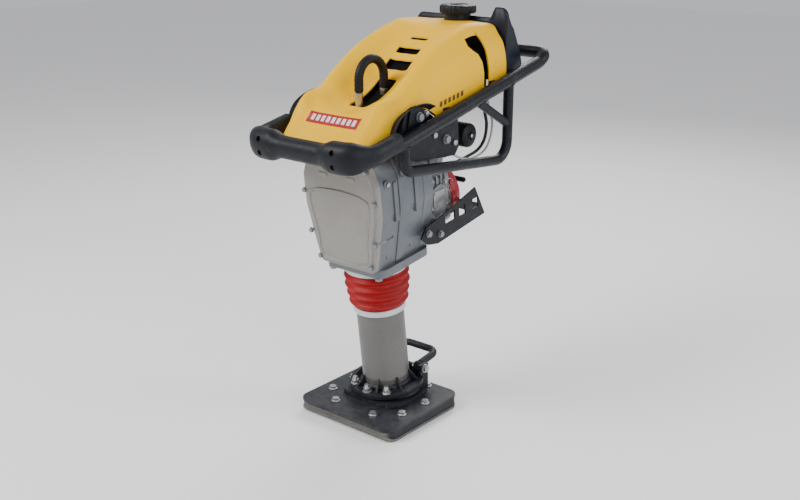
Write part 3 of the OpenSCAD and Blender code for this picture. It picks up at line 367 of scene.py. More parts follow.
def tube(name, path, r, mat, sides=24, **kw):
    return sweep(name, path, round_section(r, sides), mat, **kw)


def turned_faces(sides, k, closed=False):
    """Faces of a profile of k points turned round an axis, with flat ends unless the profile is closed."""
    last = k if closed else k - 1
    faces = [(i * k + j, ((i + 1) % sides) * k + j, ((i + 1) % sides) * k + (j + 1) % k, i * k + (j + 1) % k)
             for i in range(sides) for j in range(last)]
    if not closed:
        faces += [tuple(i * k for i in range(sides)), tuple(i * k + k - 1 for i in range(sides))]
    return faces


def lathe(name, profile, mat, centre=(0, 0, 0), axis="Z", sides=72, closed=False, **kw):
    """Turns a profile of (radius, height) round an axis. A closed profile makes a ring."""
    k = len(profile)
    verts = []
    for i in range(sides):
        a = 2 * math.pi * i / sides
        for r, h in profile:
            x, y = r * math.cos(a), r * math.sin(a)
            q = {"Z": (x, y, h), "Y": (x, h, y), "X": (h, x, y)}[axis]
            verts.append(Vector(q) + Vector(centre))
    return make(name, verts, turned_faces(sides, k, closed), mat, **kw)


def extruded(outline, low, high, axis):
    """Points and faces of an outline extruded along an axis. The outline has the other two coordinates."""
    k = len(outline)
    place = {"X": lambda a, b, t: (t, a, b), "Y": lambda a, b, t: (a, t, b), "Z": lambda a, b,
             t: (a, b, t)}[axis]
    verts = [place(a, b, t) for t in (low, high) for a, b in outline]
    return verts, end_faces(2, k) + ring_faces(2, k)


def prism(name, outline, low, high, mat, axis="X", bevel=0.0, **kw):
    """A piece extruded along an axis."""
    verts, faces = extruded(outline, low, high, axis)
    return make(name, verts, faces, mat, bevel=bevel, **kw)


def box(name, low, high, mat, bevel=1.0, **kw):
    return prism(name, [(low[0], low[1]), (high[0], low[1]), (high[0], high[1]), (low[0], high[1])],
                 low[2], high[2], mat, axis="Z", bevel=bevel, **kw)


def side_box(name, s, inner, outer, low, high, mat, bevel):
    """A box on side s, between two distances from the middle and two (y, z) corners."""
    x0, x1 = sorted((s * inner, s * outer))
    return box(name, (x0, *low), (x1, *high), mat, bevel)


def rounded(w, l, r, cx=0.0, cy=0.0, steps=8):
    """Outline of a rectangle with round corners."""
    out = []
    for sx, sy, a0 in ((1, 1, 0), (-1, 1, 90), (-1, -1, 180), (1, -1, 270)):
        for k in range(steps + 1):
            a = math.radians(a0 + 90 * k / steps)
            out.append((cx + sx * (w / 2 - r) + r * math.cos(a), cy + sy * (l / 2 - r) + r * math.sin(a)))
    return out


def cut(o, cutters):
    """Cuts each cutter out of o and removes the cutters."""
    for c in cutters:
        m = o.modifiers.new("cut", "BOOLEAN")
        m.operation, m.solver, m.object = "DIFFERENCE", "EXACT", c
    dg = bpy.context.evaluated_depsgraph_get()
    me = bpy.data.meshes.new_from_object(o.evaluated_get(dg))
    o.modifiers.clear()
    o.data = me
    for c in cutters:
        bpy.data.objects.remove(c)
    return o


def cutter(outline, low, high, axis="X"):
    """An extruded body for cut() to take away."""
    me = bpy.data.meshes.new("cutter")
    verts, faces = extruded(outline, low, high, axis)
    me.from_pydata([Vector(v) * 0.001 for v in verts], [], faces)
    o = bpy.data.objects.new("cutter", me)
    bpy.context.collection.objects.link(o)
    bm = bmesh.new()
    bm.from_mesh(me)
    bmesh.ops.recalc_face_normals(bm, faces=bm.faces)
    bm.to_mesh(me)
    bm.free()
    return o


# ---------- CAD nodes keep their shape and take materials and soft edges ----------

for sub in frame["record"]["subparts"]:
    o = frame["nodes"][sub["node"]]
    o.data.materials.clear()
    o.data.materials.append(M["engine_cast" if sub["node"] in ("cover_screws",
                                                               "housing_bolts") else sub["material_slot"]])
    w = o.modifiers.new("weld", "WELD")
    w.merge_threshold = 0.00002
    b = o.modifiers.new("edge", "BEVEL")
    b.width, b.segments, b.limit_method, b.angle_limit = 0.0007, 2, "ANGLE", math.radians(40)
    b.harden_normals = False

# ---------- hood ----------

# Cross sections: depth, heights of middle and shoulder, half width, height and half width of the hem
STATIONS = [
    (-204, 655, 662, 92, 648, 96), (-194, 666, 674, 104, 648, 110), (-165, 696, 704, 112, 650, 124),
    (-148, 712, 724, 115, 654, 128), (-131, 728, 750, 117, 658, 132), (-112, 731, 763, 119, 665, 135),
    (-90, 733, 768, 119, 672, 137), (-70, 738, 771, 119, 679, 138), (-46, 743, 787, 119, 686, 138),
    (-24, 748, 803, 120, 694, 138), (14, 766, 827, 121, 708, 138), (40, 784, 842, 121, 716, 138),
    (60, 800, 852, 121, 721, 138), (78, 815, 860, 121, 725, 138), (96, 829, 867, 120, 729, 138),
    (114, 843, 873, 120, 733, 138), (134, 855, 880, 119, 737, 138), (152, 863, 885, 119, 741, 138),
    (188, 881, 894, 118, 749, 137), (215, 888, 895, 117, 756, 137), (250, 891, 893, 116, 764, 136.6),
    (HOOD_REAR, 891, 888, 115, 770, 136.4),
]


def station(y):
    """The hood's cross section at a depth, smoothly between the listed ones."""
    ys = [s[0] for s in STATIONS]
    i = max(0, min(len(ys) - 2, sum(1 for v in ys if v <= y) - 1))
    a, b, c, d = (STATIONS[max(0, min(len(ys) - 1, i + j))] for j in (-1, 0, 1, 2))
    t = (y - b[0]) / (c[0] - b[0])
    out = [y]
    for k in range(1, 6):
        m1 = (c[k] - a[k]) / max(c[0] - a[0], 1e-6) * (c[0] - b[0])
        m2 = (d[k] - b[k]) / max(d[0] - b[0], 1e-6) * (c[0] - b[0])
        h = t * t * (3 - 2 * t)
        out.append(b[k] + (c[k] - b[k]) * h + (t ** 3 - 2 * t * t + t) * m1 + (t ** 3 - t * t) * m2)
    return out


def section(y, t=0.0, steps=7):
    """Half outline of the hood at a depth, moved inwards by t, from the middle down to the hem."""
    _, mid, top, w, hem, hemw = station(y)
    w, top, mid, hemw = w - t, top - t, mid - t, hemw - t
    d, g = top - hem, top - mid
    flat = max(0.0, min(1.0, (-100 - y) / 30))
    p = [(0, mid), (0.24 * w, mid + 0.02 * g), (0.47 * w, mid + (0.32 - 0.28 * flat) * g),
         (0.65 * w, mid + (0.74 - 0.56 * flat) * g), ((0.82 + 0.03 * flat) * w, top),
         (0.93 * w, top - 0.05 * d), (w, top - 0.16 * d), (0.35 * w + 0.65 * hemw, top - 0.34 * d),
         (hemw, hem + 0.36 * d), (hemw, hem)]
    c = curve([(x, z, 0) for x, z in p], steps)
    return [(q.x, q.y) for q in c]


def swept_back(y, z):
    """The rear edge of the hood leans back towards its hem."""
    t = max(0.0, min(1.0, (y - 150) / (HOOD_REAR - 150)))
    return y + 0.08 * max(0.0, 880 - z) * t * t * (3 - 2 * t)


def hood_mesh():
    """Outer and inner skin of the hood, joined along the rim."""
    ys = []
    for a, b in zip(STATIONS[:-1], STATIONS[1:]):
        n = max(2, round((b[0] - a[0]) / 5))
        ys += [a[0] + (b[0] - a[0]) * k / n for k in range(n)]
    ys.append(HOOD_REAR)
    verts, faces = [], []
    for t in (0.0, 3.6):
        for y in ys:
            half = section(y, t)
            yy = y + (t if y == ys[0] else 0)
            verts += [(-x, swept_back(yy, z), z) for x, z in half[:0:-1]]
            verts += [(x, swept_back(yy, z), z) for x, z in half]
    k = 2 * len(section(0)) - 1
    rows = len(ys)
    for layer in range(2):
        base = layer * rows * k
        faces += [(base + i * k + j, base + i * k + j + 1, base + (i + 1) * k + j + 1, base + (i + 1) * k + j)
                  for i in range(rows - 1) for j in range(k - 1)]
    under = rows * k
    rim = [i * k for i in range(rows)] + [(rows - 1) * k + j for j in range(1, k)]
    rim += [i * k + k - 1 for i in range(rows - 2, -1, -1)] + [j for j in range(k - 2, 0, -1)]
    faces += [(rim[i], rim[(i + 1) % len(rim)], under + rim[(i + 1) % len(rim)], under + rim[i])
              for i in range(len(rim))]
    return verts, faces


verts, faces = hood_mesh()
hood = make("hood_shell", verts, faces, "hood_yellow", ride=False)
arch = [(-122, 640), (-117, 684), (-112, 705), (-100, 723), (-80, 735), (-58, 742), (-34, 745), (-10, 742),
        (8, 735), (24, 726), (38, 717), (50, 705), (56, 640)]
slot_cut = [(-20, -70), (20, -70), (25, -62), (25, 34), (20, 42), (-20, 42), (-25, 34), (-25, -62)]
banana = [(158, 870), (172, 884), (196, 884), (210, 866), (220, 838), (226, 800), (229, 768), (226, 748),
          (212, 746), (208, 764), (207, 790), (201, 815), (188, 833), (172, 842), (160, 852)]
cutters = [cutter(arch, s * 98, s * 150) for s in (1, -1)]
cutters += [cutter(banana, s * 113, s * 150) for s in (1, -1)]
cutters.append(cutter(slot_cut, 600, 950, axis="Z"))
round_neck = [(34 * math.cos(math.pi * k / 24), NECK_Y + 34 * math.sin(math.pi * k / 24)) for k in range(48)]
cutters.append(cutter(round_neck, 800, 950, axis="Z"))
for w, l, cy in ((68, 25, 73), (64, 17, 108), (48, 13, 147)):
    cutters.append(cutter(rounded(w, l, 4, 0, cy, 3), 600, 950, axis="Z"))
cut(hood, cutters)
finish_mesh(hood, "hood_yellow", angle=30, bevel=0.9)
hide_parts("hood")

# A rolled lip and a flaring fender round each arch
FENDER = ((127, 0.6), (140, 3.5), (149, 10), (152, 11.5), (152, 9), (148.5, 7.5), (140, 1), (127, -1.8))
for s, side in SIDES:
    lip = curve([(s * 134, y, z) for y, z in arch[1:-1]], 4)
    tube("arch_lip_" + side, lip, 3.2, "bumper_black", sides=12)
    band = curve([(0, y, z) for y, z in arch[1:-4]], 4)
    verts = []
    for i, q in enumerate(band):
        d = (band[min(i + 1, len(band) - 1)] - band[max(i - 1, 0)]).normalized()
        n = Vector((0, -d.z, d.y))
        verts += [Vector((s * x, 0, 0)) + q + n * out for x, out in FENDER]
    faces = ring_faces(len(band), len(FENDER)) + end_faces(len(band), len(FENDER))
    make("arch_fender_" + side, verts, faces, "bumper_black", angle=50)


def hood_z(x, y):
    """Height of the hood's top at a place."""
    half = section(y)
    ax = abs(x)
    for (x0, z0), (x1, z1) in zip(half[:-1], half[1:]):
        if x0 <= ax <= x1 and x1 > x0:
            return z0 + (z1 - z0) * (ax - x0) / (x1 - x0)
    return half[-1][1]


def patch(name, corners, mat, lift=0.5, nx=24, ny=8):
    """A thin film on top of the hood between four (x, y) corners."""
    a, b, c, d = corners
    verts = []
    for j in range(ny + 1):
        for i in range(nx + 1):
            u, v = i / nx, j / ny
            x = (a[0] * (1 - u) + b[0] * u) * (1 - v) + (d[0] * (1 - u) + c[0] * u) * v
            y = (a[1] * (1 - u) + b[1] * u) * (1 - v) + (d[1] * (1 - u) + c[1] * u) * v
            verts.append((x, y, hood_z(x, y) + lift))
    return make(name, verts, grid_faces(ny + 1, nx + 1), mat)


patch("decal_field", [(-72, -152), (72, -152), (72, -132), (-72, -132)], "decal_red", 0.5)
for i in range(9):
    x = -62 + 14.5 * i
    patch("decal_bar_%d" % i, [(x, -147), (x + 9, -147), (x + 9, -137), (x, -137)], "decal_white", 0.9, 6, 3)


def side_x(y, z):
    """Half width of the hood's side at a depth and a height."""
    half = section(y)
    widest = max(range(len(half)), key=lambda i: half[i][1])
    for (x0, z0), (x1, z1) in zip(half[widest:-1], half[widest + 1:]):
        if z1 <= z <= z0 and z0 > z1:
            return x0 + (x1 - x0) * (z0 - z) / (z0 - z1)
    return half[-1][0]


for s, side in SIDES:
    for i in range(6):
        verts = []
        for k in range(5):
            for j in range(4):
                y, z = 44 + 15 * i + 9 * j / 3, 736 + 2.6 * i + 1.6 * j / 3 + 11.4 * k / 4
                verts.append((s * (side_x(y, z) + 0.5), y, z))
        make("side_mark_%s_%d" % (side, i), verts, grid_faces(5, 4), "decal_dark")

# Painted shade: a near-black sheet under the slot and vents, and one behind each side slot, stand in for the
# shade inside the hood; behind each arch a liner for the black cowl, whose extra-dark colour is painted shade
# as well
cols, rows = [-84 + 12 * i for i in range(15)], [-66 + 11.5 * j for j in range(21)]
verts = [(x, y, hood_z(x, y) - 14 - 0.05 * abs(x)) for y in rows for x in cols]
make("hood_shade_sheet", verts, grid_faces(len(rows), len(cols)), "painted_shade_black")
for s, side in SIDES:
    # The arch liner is the black cowl's inside in near-black: partly its real black, partly painted shade.
    liner = [(y, z) for y, z in arch[1:-1]] + [(54, 672), (40, 660), (-60, 652), (-110, 668)]
    plate = prism("arch_liner_" + side, liner, s * 122, s * 123.5, "painted_shade_black", ride=False)
    round_hole = [(-32 + 25 * math.cos(math.pi * k / 18), 727 + 25 * math.sin(math.pi * k / 18))
                  for k in range(36)]
    cut(plate, [cutter(round_hole, s * 110, s * 140)])
    finish_mesh(plate, "painted_shade_black")
    side_box("side_slot_shade_sheet_" + side, s, 112, 113.5, (138, 750), (250, 838), "painted_shade_black", 0)

# ---------- tank, cap ----------

def tank_profile(x):
    """Side outline of the tank at a distance x from the middle; the end at +X rises into a shoulder."""
    rise = ease(x, 84, 98)
    far = max(0.0, min(1.0, (x - 100) / 14))
    end = max(0.0, (abs(x) - 116) / 16)
    drop = 16 * end * end
    edge = max(0.0, abs(x) - 102)
    front = 876 - 0.07 * edge * edge - 0.5 * edge
    top = 900 + 24 * rise - drop
    back = -12 * end * end
    return [(254.5, 766 + 0.4 * drop), (300, 766 + 0.4 * drop), (330 + back + 14 * far, 768 + 0.4 * drop),
            (342 + back + 28 * far, 776 + 0.4 * drop), (347 + back + 31 * far, 792),
            (345 + back + 24 * far, 820), (340 + back + 14 * far, 850), (332 + back + 8 * far, 876),
            (326 + back + 4 * far, 892 - drop * 0.5),
            (318 + back, top - 6), (308, top), (303, top), (300, top - 3), (299, min(top - 8, 889)),
            (298, front), (256, front), (254.5, front - 2)]


xs = [-132 + 264 * i / 60 for i in range(61)]
k = len(tank_profile(0))
verts = [(x, y, z) for x in xs for y, z in tank_profile(x)]
tank = make("tank_shell", verts, ring_faces(len(xs), k) + end_faces(len(xs), k), "tank_navy", angle=50)
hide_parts("fuel_tank")
for s, side in SIDES:
    side_box("tank_ear_" + side, s, 130, 142.6, (300, 766), (326, 784), "tank_navy", 2)
lathe("tank_neck", [(30, 879), (30, 911), (27, 911.5)], "tank_navy", (0, NECK_Y, 0), sides=48)
cap_ribs, cap_sides = 24, 96
cap_profile = [(41.0, 906.6), (43.0, 908), (43.0, 920), (41.5, 923.5), (38, 925.2), (24, 925.4), (22, 924),
               (0.5, 923.8)]
verts = []
for i in range(cap_sides):
    a = 2 * math.pi * i / cap_sides
    wave = 1.3 * (1 if math.cos(cap_ribs * a) > 0 else 0)
    for j, (r, h) in enumerate(cap_profile):
        rr = r - (wave if 0 < j < 4 else 0)
        verts.append((rr * math.cos(a), NECK_Y + rr * math.sin(a), h))
cap = make("cap_knurled", verts, turned_faces(cap_sides, len(cap_profile)), "plastic_black",
           body="filler_cap")
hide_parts("fuel_cap")
box("cap_grip", (-22, 286, 923), (22, 294, 925.6), "plastic_black", 1.2, body="filler_cap")

# ---------- handle ----------

rail_side = [(-238, 668), (-108, 684), (398, 793), (430, 812)]
corners = [(-3, -238, 668)] + [(RAIL_X, y, z) for y, z in rail_side]
corners += [(-RAIL_X, y, z) for y, z in rail_side[::-1]] + [(3, -238, 668)]
handle = bent(corners, [58, 120, 40, 20, 20, 40, 120, 58], 12)
rails = tube("handle_tube", handle, RAIL_R, "frame_black", sides=32)
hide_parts("handle_loop")
for s, side in SIDES:
    x = s * RAIL_X
    path = bent([(x, 276, rail_z(276) - 10), (x, 276, 583), (x, -100, 623), (x, -100, rail_z(-100) - 10)],
                [42, 30], 12)
    tube("side_loop_" + side, path, 12, "frame_black", sides=28)
    tube("loop_strut_" + side, [(x, 160, rail_z(160) - 10), (x, 268, 670)], 10, "frame_black", sides=24)
    for tag, at, r, up in (("rear", (x, 276, rail_z(276)), 13.5, 0),
                           ("front", (x, -100, rail_z(-100)), 13.5, 0),
                           ("strut", (x, 160, rail_z(160)), 11.5, -0.74)):
        # Weld bead: a ring that follows the rail where the tube meets it
        ring = []
        for i in range(37):
            a = 2 * math.pi * i / 36
            dx, dy = r * math.cos(a), r * math.sin(a)
            fall = math.sqrt(max(RAIL_R ** 2 - dx * dx, 0))
            ring.append((x + dx, at[1] + dy - up * 12, at[2] - fall - 0.3 + dy * 0.2154 - up * 2.5))
        tube("weld_%s_%s" % (tag, side), ring, 1.9, "frame_black", sides=8)
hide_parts("side_loops")

# ---------- front bumper ----------

BUMPER_HOLES_X, BUMPER_HOLES_Z = 104, (655, 685)


def bumper_path():
    """The bumper's middle line, from one wing round the front to the other, in short steps."""
    pts = bent([(-157, -118, 690), (-157, -180, 678), (-157, -235, 670), (157, -235, 670),
                (157, -180, 678), (157, -118, 690)],
               [60, 54, 54, 60], 8)
    out = []
    for a, b in zip(pts[:-1], pts[1:]):
        n = max(1, int((b - a).length / 5))
        out += [a + (b - a) * k / n for k in range(n)]
    return out + [pts[-1]]


bp_path = bumper_path()
along = [0.0]
for a, b in zip(bp_path[:-1], bp_path[1:]):
    along.append(along[-1] + (b - a).length)
total = along[-1]


def bumper_section(i):
    """A waist in the middle, a bulge at each corner, then a slimmer wing back along the rail."""
    ax = abs(along[i] / total - 0.5) * total
    h = 23.5 + 10 * ease(ax, 54, 88) - 12.5 * ease(ax, 128, 176)
    w = 22 + 5 * ease(ax, 54, 88) - 10.4 * ease(ax, 118, 170)
    out = []
    for j in range(32):
        a = 2 * math.pi * j / 32
        c, q = math.cos(a), math.sin(a)
        out.append((h * math.copysign(abs(c) ** 0.85, c), w * math.copysign(abs(q) ** 0.85, q)))
    return out


bumper = sweep("bumper_moulding", bp_path, bumper_section, "bumper_black", ride=False, angle=50)
holes = []
for s in (-1, 1):
    for z in BUMPER_HOLES_Z:
        rim = [(s * BUMPER_HOLES_X + x, z + dz) for x, dz in round_section(6, 20)]
        holes.append(cutter(rim, -300, -252, axis="Y"))
cut(bumper, holes)
finish_mesh(bumper, "bumper_black", angle=42)
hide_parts("front_bumper")
# The bolts are black so that the holes look dark: their black is painted shade inside the holes.
for s, side in SIDES:
    for z in BUMPER_HOLES_Z:
        lathe("bumper_bolt_%s_%d" % (side, z), [(4.4, -250), (4.4, -254), (0.5, -254.4)], "cast_black",
              (s * BUMPER_HOLES_X, 0, z), axis="Y", sides=6)

# ---------- bellows, clamps ----------

def fold_profile(n=128):
    """Outer and inner profile of the folds, both from the bottom up."""
    outer, inner = [], []
    for i in range(n + 1):
        t = i / n
        z = FOLDS_LOW + (FOLDS_HIGH - FOLDS_LOW) * t
        big = 68 + 7.5 * min(1, 1.6 * t)
        wave = abs(math.cos(math.pi * 4 * t)) ** 1.5
        r = big - 7.4 * wave
        outer.append((r, z))
        inner.append((r - 3, z))
    return outer, inner


outer, inner = fold_profile()
skin = [(58.6, 259), (58.8, 274)] + outer + [(69.0, 363), (69.0, 377), (66, 377), (66, 364)]
skin += inner[::-1] + [(55.8, 274), (55.8, 259)]
bellows = lathe("bellows_skin", skin, "bellows_red", sides=96, closed=True, leg=True, ride=False, angle=60)
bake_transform(bellows)
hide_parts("bellows")

low_clamp = lathe("low_clamp_band",
                  [(59, 260), (61.4, 260), (62, 261), (61.2, 266), (62, 272), (61.4, 273.5), (59, 273.5)],
                  "clamp_pale", leg=True, body="foot", closed=True)
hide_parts("lower_bellows_clamp")
high_clamp = lathe("high_clamp_band",
                   [(69, 364), (72, 364), (73, 365.5), (72.2, 370), (73, 375), (72, 376.5), (69, 376.5)],
                   "clamp_pale", leg=True, closed=True)
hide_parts("upper_bellows_clamp")
for tag, r, z, body in (("low", 62, 266.7, "foot"), ("high", 73, 370.2, "housing")):
    box("clamp_ear_" + tag, (-7, r - 1, z - 5), (7, r + 8, z + 5), "clamp_pale", 1, leg=True, body=body)
    lathe("clamp_screw_" + tag, [(3.5, -12), (3.5, -8), (2, -8), (2, 8), (0.3, 8)], "zinc", (0, r + 4, z),
          axis="X", sides=12, leg=True, body=body)

# ---------- lifting bow: ribbed black sleeve over the bow, with a ferrule at each foot ----------

bow = [(0, -60, 768 + 5 * i) for i in range(5)]
bow += [(0, -19 - 41 * math.cos(math.pi * i / 40), 793 + 41 * math.sin(math.pi * i / 40)) for i in range(41)]
bow += [(0, 22, 793 - 5 * i) for i in range(1, 6)]
sleeve = sweep("bow_sleeve", bow, lambda i: round_section(9.6 + (0.5 if i % 2 else 0), 24), "rubber_black",
               up=(1, 0, 0))
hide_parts("lift_sleeve")
for tag, y, z in (("front", -60, 741), ("back", 22, 741)):
    ferrule = [(5.2, z - 14), (8, z - 14), (8.8, z - 10), (8.4, z + 16), (9.2, z + 19), (9.2, z + 24),
               (7, z + 26), (5.2, z + 26)]
    lathe("bow_ferrule_" + tag, ferrule, "zinc", (0, y, 0), sides=32, closed=True)

# ---------- crankcase and cover ----------

def case_outline(g):
    """Front outline of the crankcase, grown by g, as (x, z) in the leg's frame."""
    half = [(78 + g, 397 - g), (88 + g, 440), (106 + g, 530), (106 + g, 600), (90 + g, 640 + g),
            (62 + g, 664 + g)]
    mirrored = [(-x, z) for x, z in half]
    return mirrored[:1] + half + mirrored[:0:-1]


def rounded_outline(g, r=12, steps=5):
    """The crankcase's outline with round corners."""
    p = [Vector((x, z, 0)) for x, z in case_outline(g)]
    out = []
    for i in range(len(p)):
        a, b = (p[i] - p[i - 1]).normalized(), (p[(i + 1) % len(p)] - p[i]).normalized()
        turn = a.angle(b)
        rr = min(r, 10 / max(math.tan(turn / 2), 0.05))
        n = (b - b.dot(a) * a).normalized()
        c = p[i] - a * rr * math.tan(turn / 2) + n * rr
        for k in range(steps + 1):
            q = turn * k / steps
            out.append(tuple((c + rr * (a * math.sin(q) - n * math.cos(q)))[:2]))
    return out


def loft_y(name, levels, mat, **kw):
    """Joins outlines given as (depth, grow) along the leg's Y."""
    rings = [(y, rounded_outline(g)) for y, g in levels]
    k = len(rings[0][1])
    verts = [(x, y, z) for y, ring in rings for x, z in ring]
    return make(name, verts, ring_faces(len(rings), k) + end_faces(len(rings), k), mat, leg=True, **kw)


# Raised bands and ribs on the sides of the casting
for tag, y0, y1, g in (("front", -79.8, -68, 1.5), ("middle", -22, 4, 2.6), ("rear", 62, 76, 1.5)):
    rings = [(y0, g - 1), (y0 + 1.2, g), (y1 - 1.2, g), (y1, g - 1)]
    loft_y("case_band_" + tag, rings, "case_blue_grey", angle=28)
for s, side in SIDES:
    for i, (y, z0, z1) in enumerate(((-52, 420, 640), (28, 420, 636), (50, 430, 620))):
        prism("case_rib_%s_%d" % (side, i), [(y - 3, z0), (y + 3, z0), (y + 3, z1), (y - 3, z1)],
              s * 60, s * 86, "case_blue_grey", leg=True, bevel=1)
    for i, (y, z) in enumerate(((-60, 600), (18, 600))):
        lathe("case_boss_%s_%d" % (side, i), [(9, 0), (9, s * 4), (7.5, s * 5.2), (0.5, s * 5.2)],
              "case_blue_grey", (s * 105, y, z), axis="X", sides=28, leg=True)
        lathe("case_screw_%s_%d" % (side, i),
              [(5.2, s * 5.1), (5.2, s * 8.2), (4.6, s * 8.9), (0.5, s * 8.9)], "zinc",
              (s * 105, y, z), axis="X", sides=6, leg=True)


cover = loft_y("cover_casting",
               [(-80.2, 1), (-90.5, 1), (-92.2, -0.6), (-92.6, -4), (-93.2, -7), (-97.6, -9), (-98.6, -11.5)],
               "cover_grey", angle=25)
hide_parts("front_cover")
lip = curve([(-84, -99, 566), (-60, -99.5, 575), (-20, -99.8, 579), (20, -99.8, 579), (62, -99.5, 574),
             (84, -99, 566)], 8)
tube("cover_lip", lip, 2.8, "cover_grey", sides=12, leg=True)
low_rim = curve([(-84, -98.6, 566), (-86, -98.6, 540), (-72, -98.6, 470), (-58, -98.6, 418),
                 (58, -98.6, 418), (72, -98.6, 470), (86, -98.6, 540), (84, -98.6, 566)], 8)
tube("cover_rim", low_rim, 1.6, "cover_grey", sides=10, leg=True)
for i, (x, z) in enumerate(((-40, 612), (0, 618), (40, 612))):
    prism("cover_pad_%d" % i, rounded(26, 10, 4, x, z), -100, -98, "cover_grey", axis="Y", leg=True,
          bevel=0.6)

# ---------- leg and foot ----------

guard_profile = [(52.6, 71), (55.5, 71), (55.5, 88), (55.8, 89), (55.8, 92), (55.5, 93), (55.5, 258),
                 (54.6, 274), (52.6, 274)]
guard = lathe("guard_skin", guard_profile, "tube_grey", leg=True, body="foot", closed=True, sides=96,
              angle=40)
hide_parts("guard_tube")
lathe("guard_foot_ring", [(56, 70.2), (62, 70.2), (62.5, 72), (60, 76), (57, 78.5), (56, 78.5)],
      "cast_black", leg=True, body="foot", closed=True)
for i in range(8):
    a = math.radians(22.5 + 45 * i)
    c, q = math.cos(a), math.sin(a)
    verts = []
    for r, z in ((57, 71), (79, 71), (57, 96)):
        for w in (-2.5, 2.5):
            verts.append((r * c - w * q, r * q + w * c, z))
    make("foot_rib_%d" % i, verts, [(0, 2, 4), (1, 5, 3), (0, 1, 3, 2), (2, 3, 5, 4), (0, 4, 5, 1)],
         "cast_black", leg=True, body="foot", bevel=0.7)

lift = tube("foot_lift_bar",
            bent([(-53, 90, 98), (-53, 156, 108), (53, 156, 108), (53, 90, 98)], [24, 24], 10), 9,
            "cast_black", body="foot", sides=28)
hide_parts("foot_lift_handle")
for s, side in SIDES:
    lathe("lift_eye_" + side, [(12, s * 45), (13, s * 46.5), (13, s * 59), (12, s * 60)], "cast_black",
          (0, 84, 92), axis="X", body="foot", sides=40)

# ---------- engine ----------

# Two fins on the block, below the side plate
for i in range(2):
    z = 428 + 14 * i
    box("block_fin_%d" % i, (-69, 150, z), (69, 200, z + 4), "engine_cast", 0.8, leg=True)
for i, (y, z) in enumerate(((130, 520), (184, 520), (130, 470), (190, 470), (184, 436))):
    for s, side in SIDES:
        lathe("block_boss_%s_%d" % (side, i), [(8, 0), (8, s * 4.5), (7, s * 5.5), (0.5, s * 5.5)],
              "engine_cast", (s * 65.5, y, z), axis="X", sides=24, leg=True)
        lathe("block_screw_%s_%d" % (side, i), [(4.6, s * 5.4), (4.6, s * 9), (0.5, s * 9.2)], "zinc",
              (s * 65.5, y, z), axis="X", sides=6, leg=True)
prism("block_side_plate", rounded(52, 44, 8, 160, 486), 72.6, 75.4, "carb_alloy", leg=True, bevel=0.8)
for dy, dz in ((-20, -16), (20, -16), (-20, 16), (20, 16)):
    lathe("plate_screw_%d_%d" % (dy, dz), [(3.4, 0), (3.4, 3), (0.5, 3.4)], "zinc",
          (75.2, 160 + dy, 486 + dz), axis="X", sides=12, leg=True)
for i in range(5):
    y = 122 + 16 * i
    prism("block_web_%d" % i, [(y, 500), (y + 4, 500), (y + 4, 540), (y, 540)], 65, 69.5, "engine_cast",
          leg=True, bevel=0.7)
lathe("recoil_rim", [(72, 206), (74, 207), (74, 214), (72, 215)], "recoil_red", (0, 0, SHAFT_Z), axis="Y",
      sides=72, leg=True, closed=True)
for i in range(6):
    a = math.radians(30 + 60 * i)
    at = (73 * math.cos(a), 0, SHAFT_Z + 73 * math.sin(a))
    lathe("recoil_ear_%d" % i, [(7, 205), (7, 213), (6, 214), (0.5, 214)], "recoil_red", at, axis="Y",
          sides=24, leg=True)
    lathe("recoil_screw_%d" % i, [(4.5, 213.5), (4.5, 217.5), (0.5, 218)], "zinc", at, axis="Y", sides=6,
          leg=True)
for i in range(4):
    lathe("filter_ring_%d" % i, [(28, 0), (28.5, 0.6), (28.5, 1.4), (28, 2)], "plastic_black",
          (52 + 11.7 * i, *FILTER[1:]), axis="X", sides=40, leg=True, closed=True)
lathe("filter_cover", [(26, 100), (27, 103), (24, 105), (9, 106), (8, 104)], "plastic_black", FILTER,
      axis="X", sides=48, leg=True)
lathe("filter_wing_nut", [(5, 105), (5, 111), (0.5, 112)], "zinc", FILTER, axis="X", sides=6, leg=True)
for i in range(5):
    box("muffler_louvre_%d" % i, (-129.6, 128 + 13 * i, 556), (-127.6, 134 + 13 * i, 592), "muffler_brown",
        0.6, leg=True)
box("muffler_seam", (-129.4, 117, 571), (-53, 203, 574), "muffler_brown", 0.8, leg=True)
for s, side in SIDES:
    lathe("plate_nut_%s" % side, [(7, 0), (7, s * 5), (6, s * 6), (0.5, s * 6)], "zinc",
          (s * 142.4, 20, 680), axis="X", sides=6)
    lathe("plate_nut_low_%s" % side, [(7, 0), (7, s * 5), (6, s * 6), (0.5, s * 6)], "zinc",
          (s * 142.4, 92, 652), axis="X", sides=6)
    lathe("arch_bolt_%s" % side, [(9, 0), (9, s * 2), (6.4, s * 2), (6.4, s * 7), (0.5, s * 7.6)], "zinc",
          (s * 137.4, -4, 730), axis="X", sides=6)

# ---------- hose, cable, starter rope ----------

HOSE_ROUTE = [(70, 296, 771.9), (72, 294, 752), (90, 276, 722), (102, 262, 692), (106, 266, 660),
              (104, 262, 626), (102, 240, 604), (100, 200, 594), (99, 160, 588), (97, 132, 582),
              (96, 116.2, 580.2), (86.4, 115.9, 580.06)]
CABLE_ROUTE = [(-131, 362, 781.1), (-130, 358, 764), (-110, 335, 752), (-60, 300, 748), (0, 284, 746),
               (60, 272, 742), (102, 264, 728), (116, 262, 696), (118, 272, 660), (116, 262, 618),
               (113, 236, 596), (111, 190, 592), (109, 154, 602), (100, 130.5, 615.6), (88.1, 129.6, 616)]
hose = tube("fuel_line", curve(HOSE_ROUTE, 8), 3.8, "hose_black", sides=16)
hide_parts("fuel_hose")
cable = tube("throttle_line", curve(CABLE_ROUTE, 8), 2.6, "cable_grey", sides=14)
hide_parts("throttle_cable")
rope = [(30, 236 + 0.5 * i, 496) for i in range(51)]
rope_mesh = tube("starter_rope", rope, 2.0, "clamp_pale", sides=12, leg=True, ride=False)
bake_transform(rope_mesh)

# ---------- floor, light, camera ----------

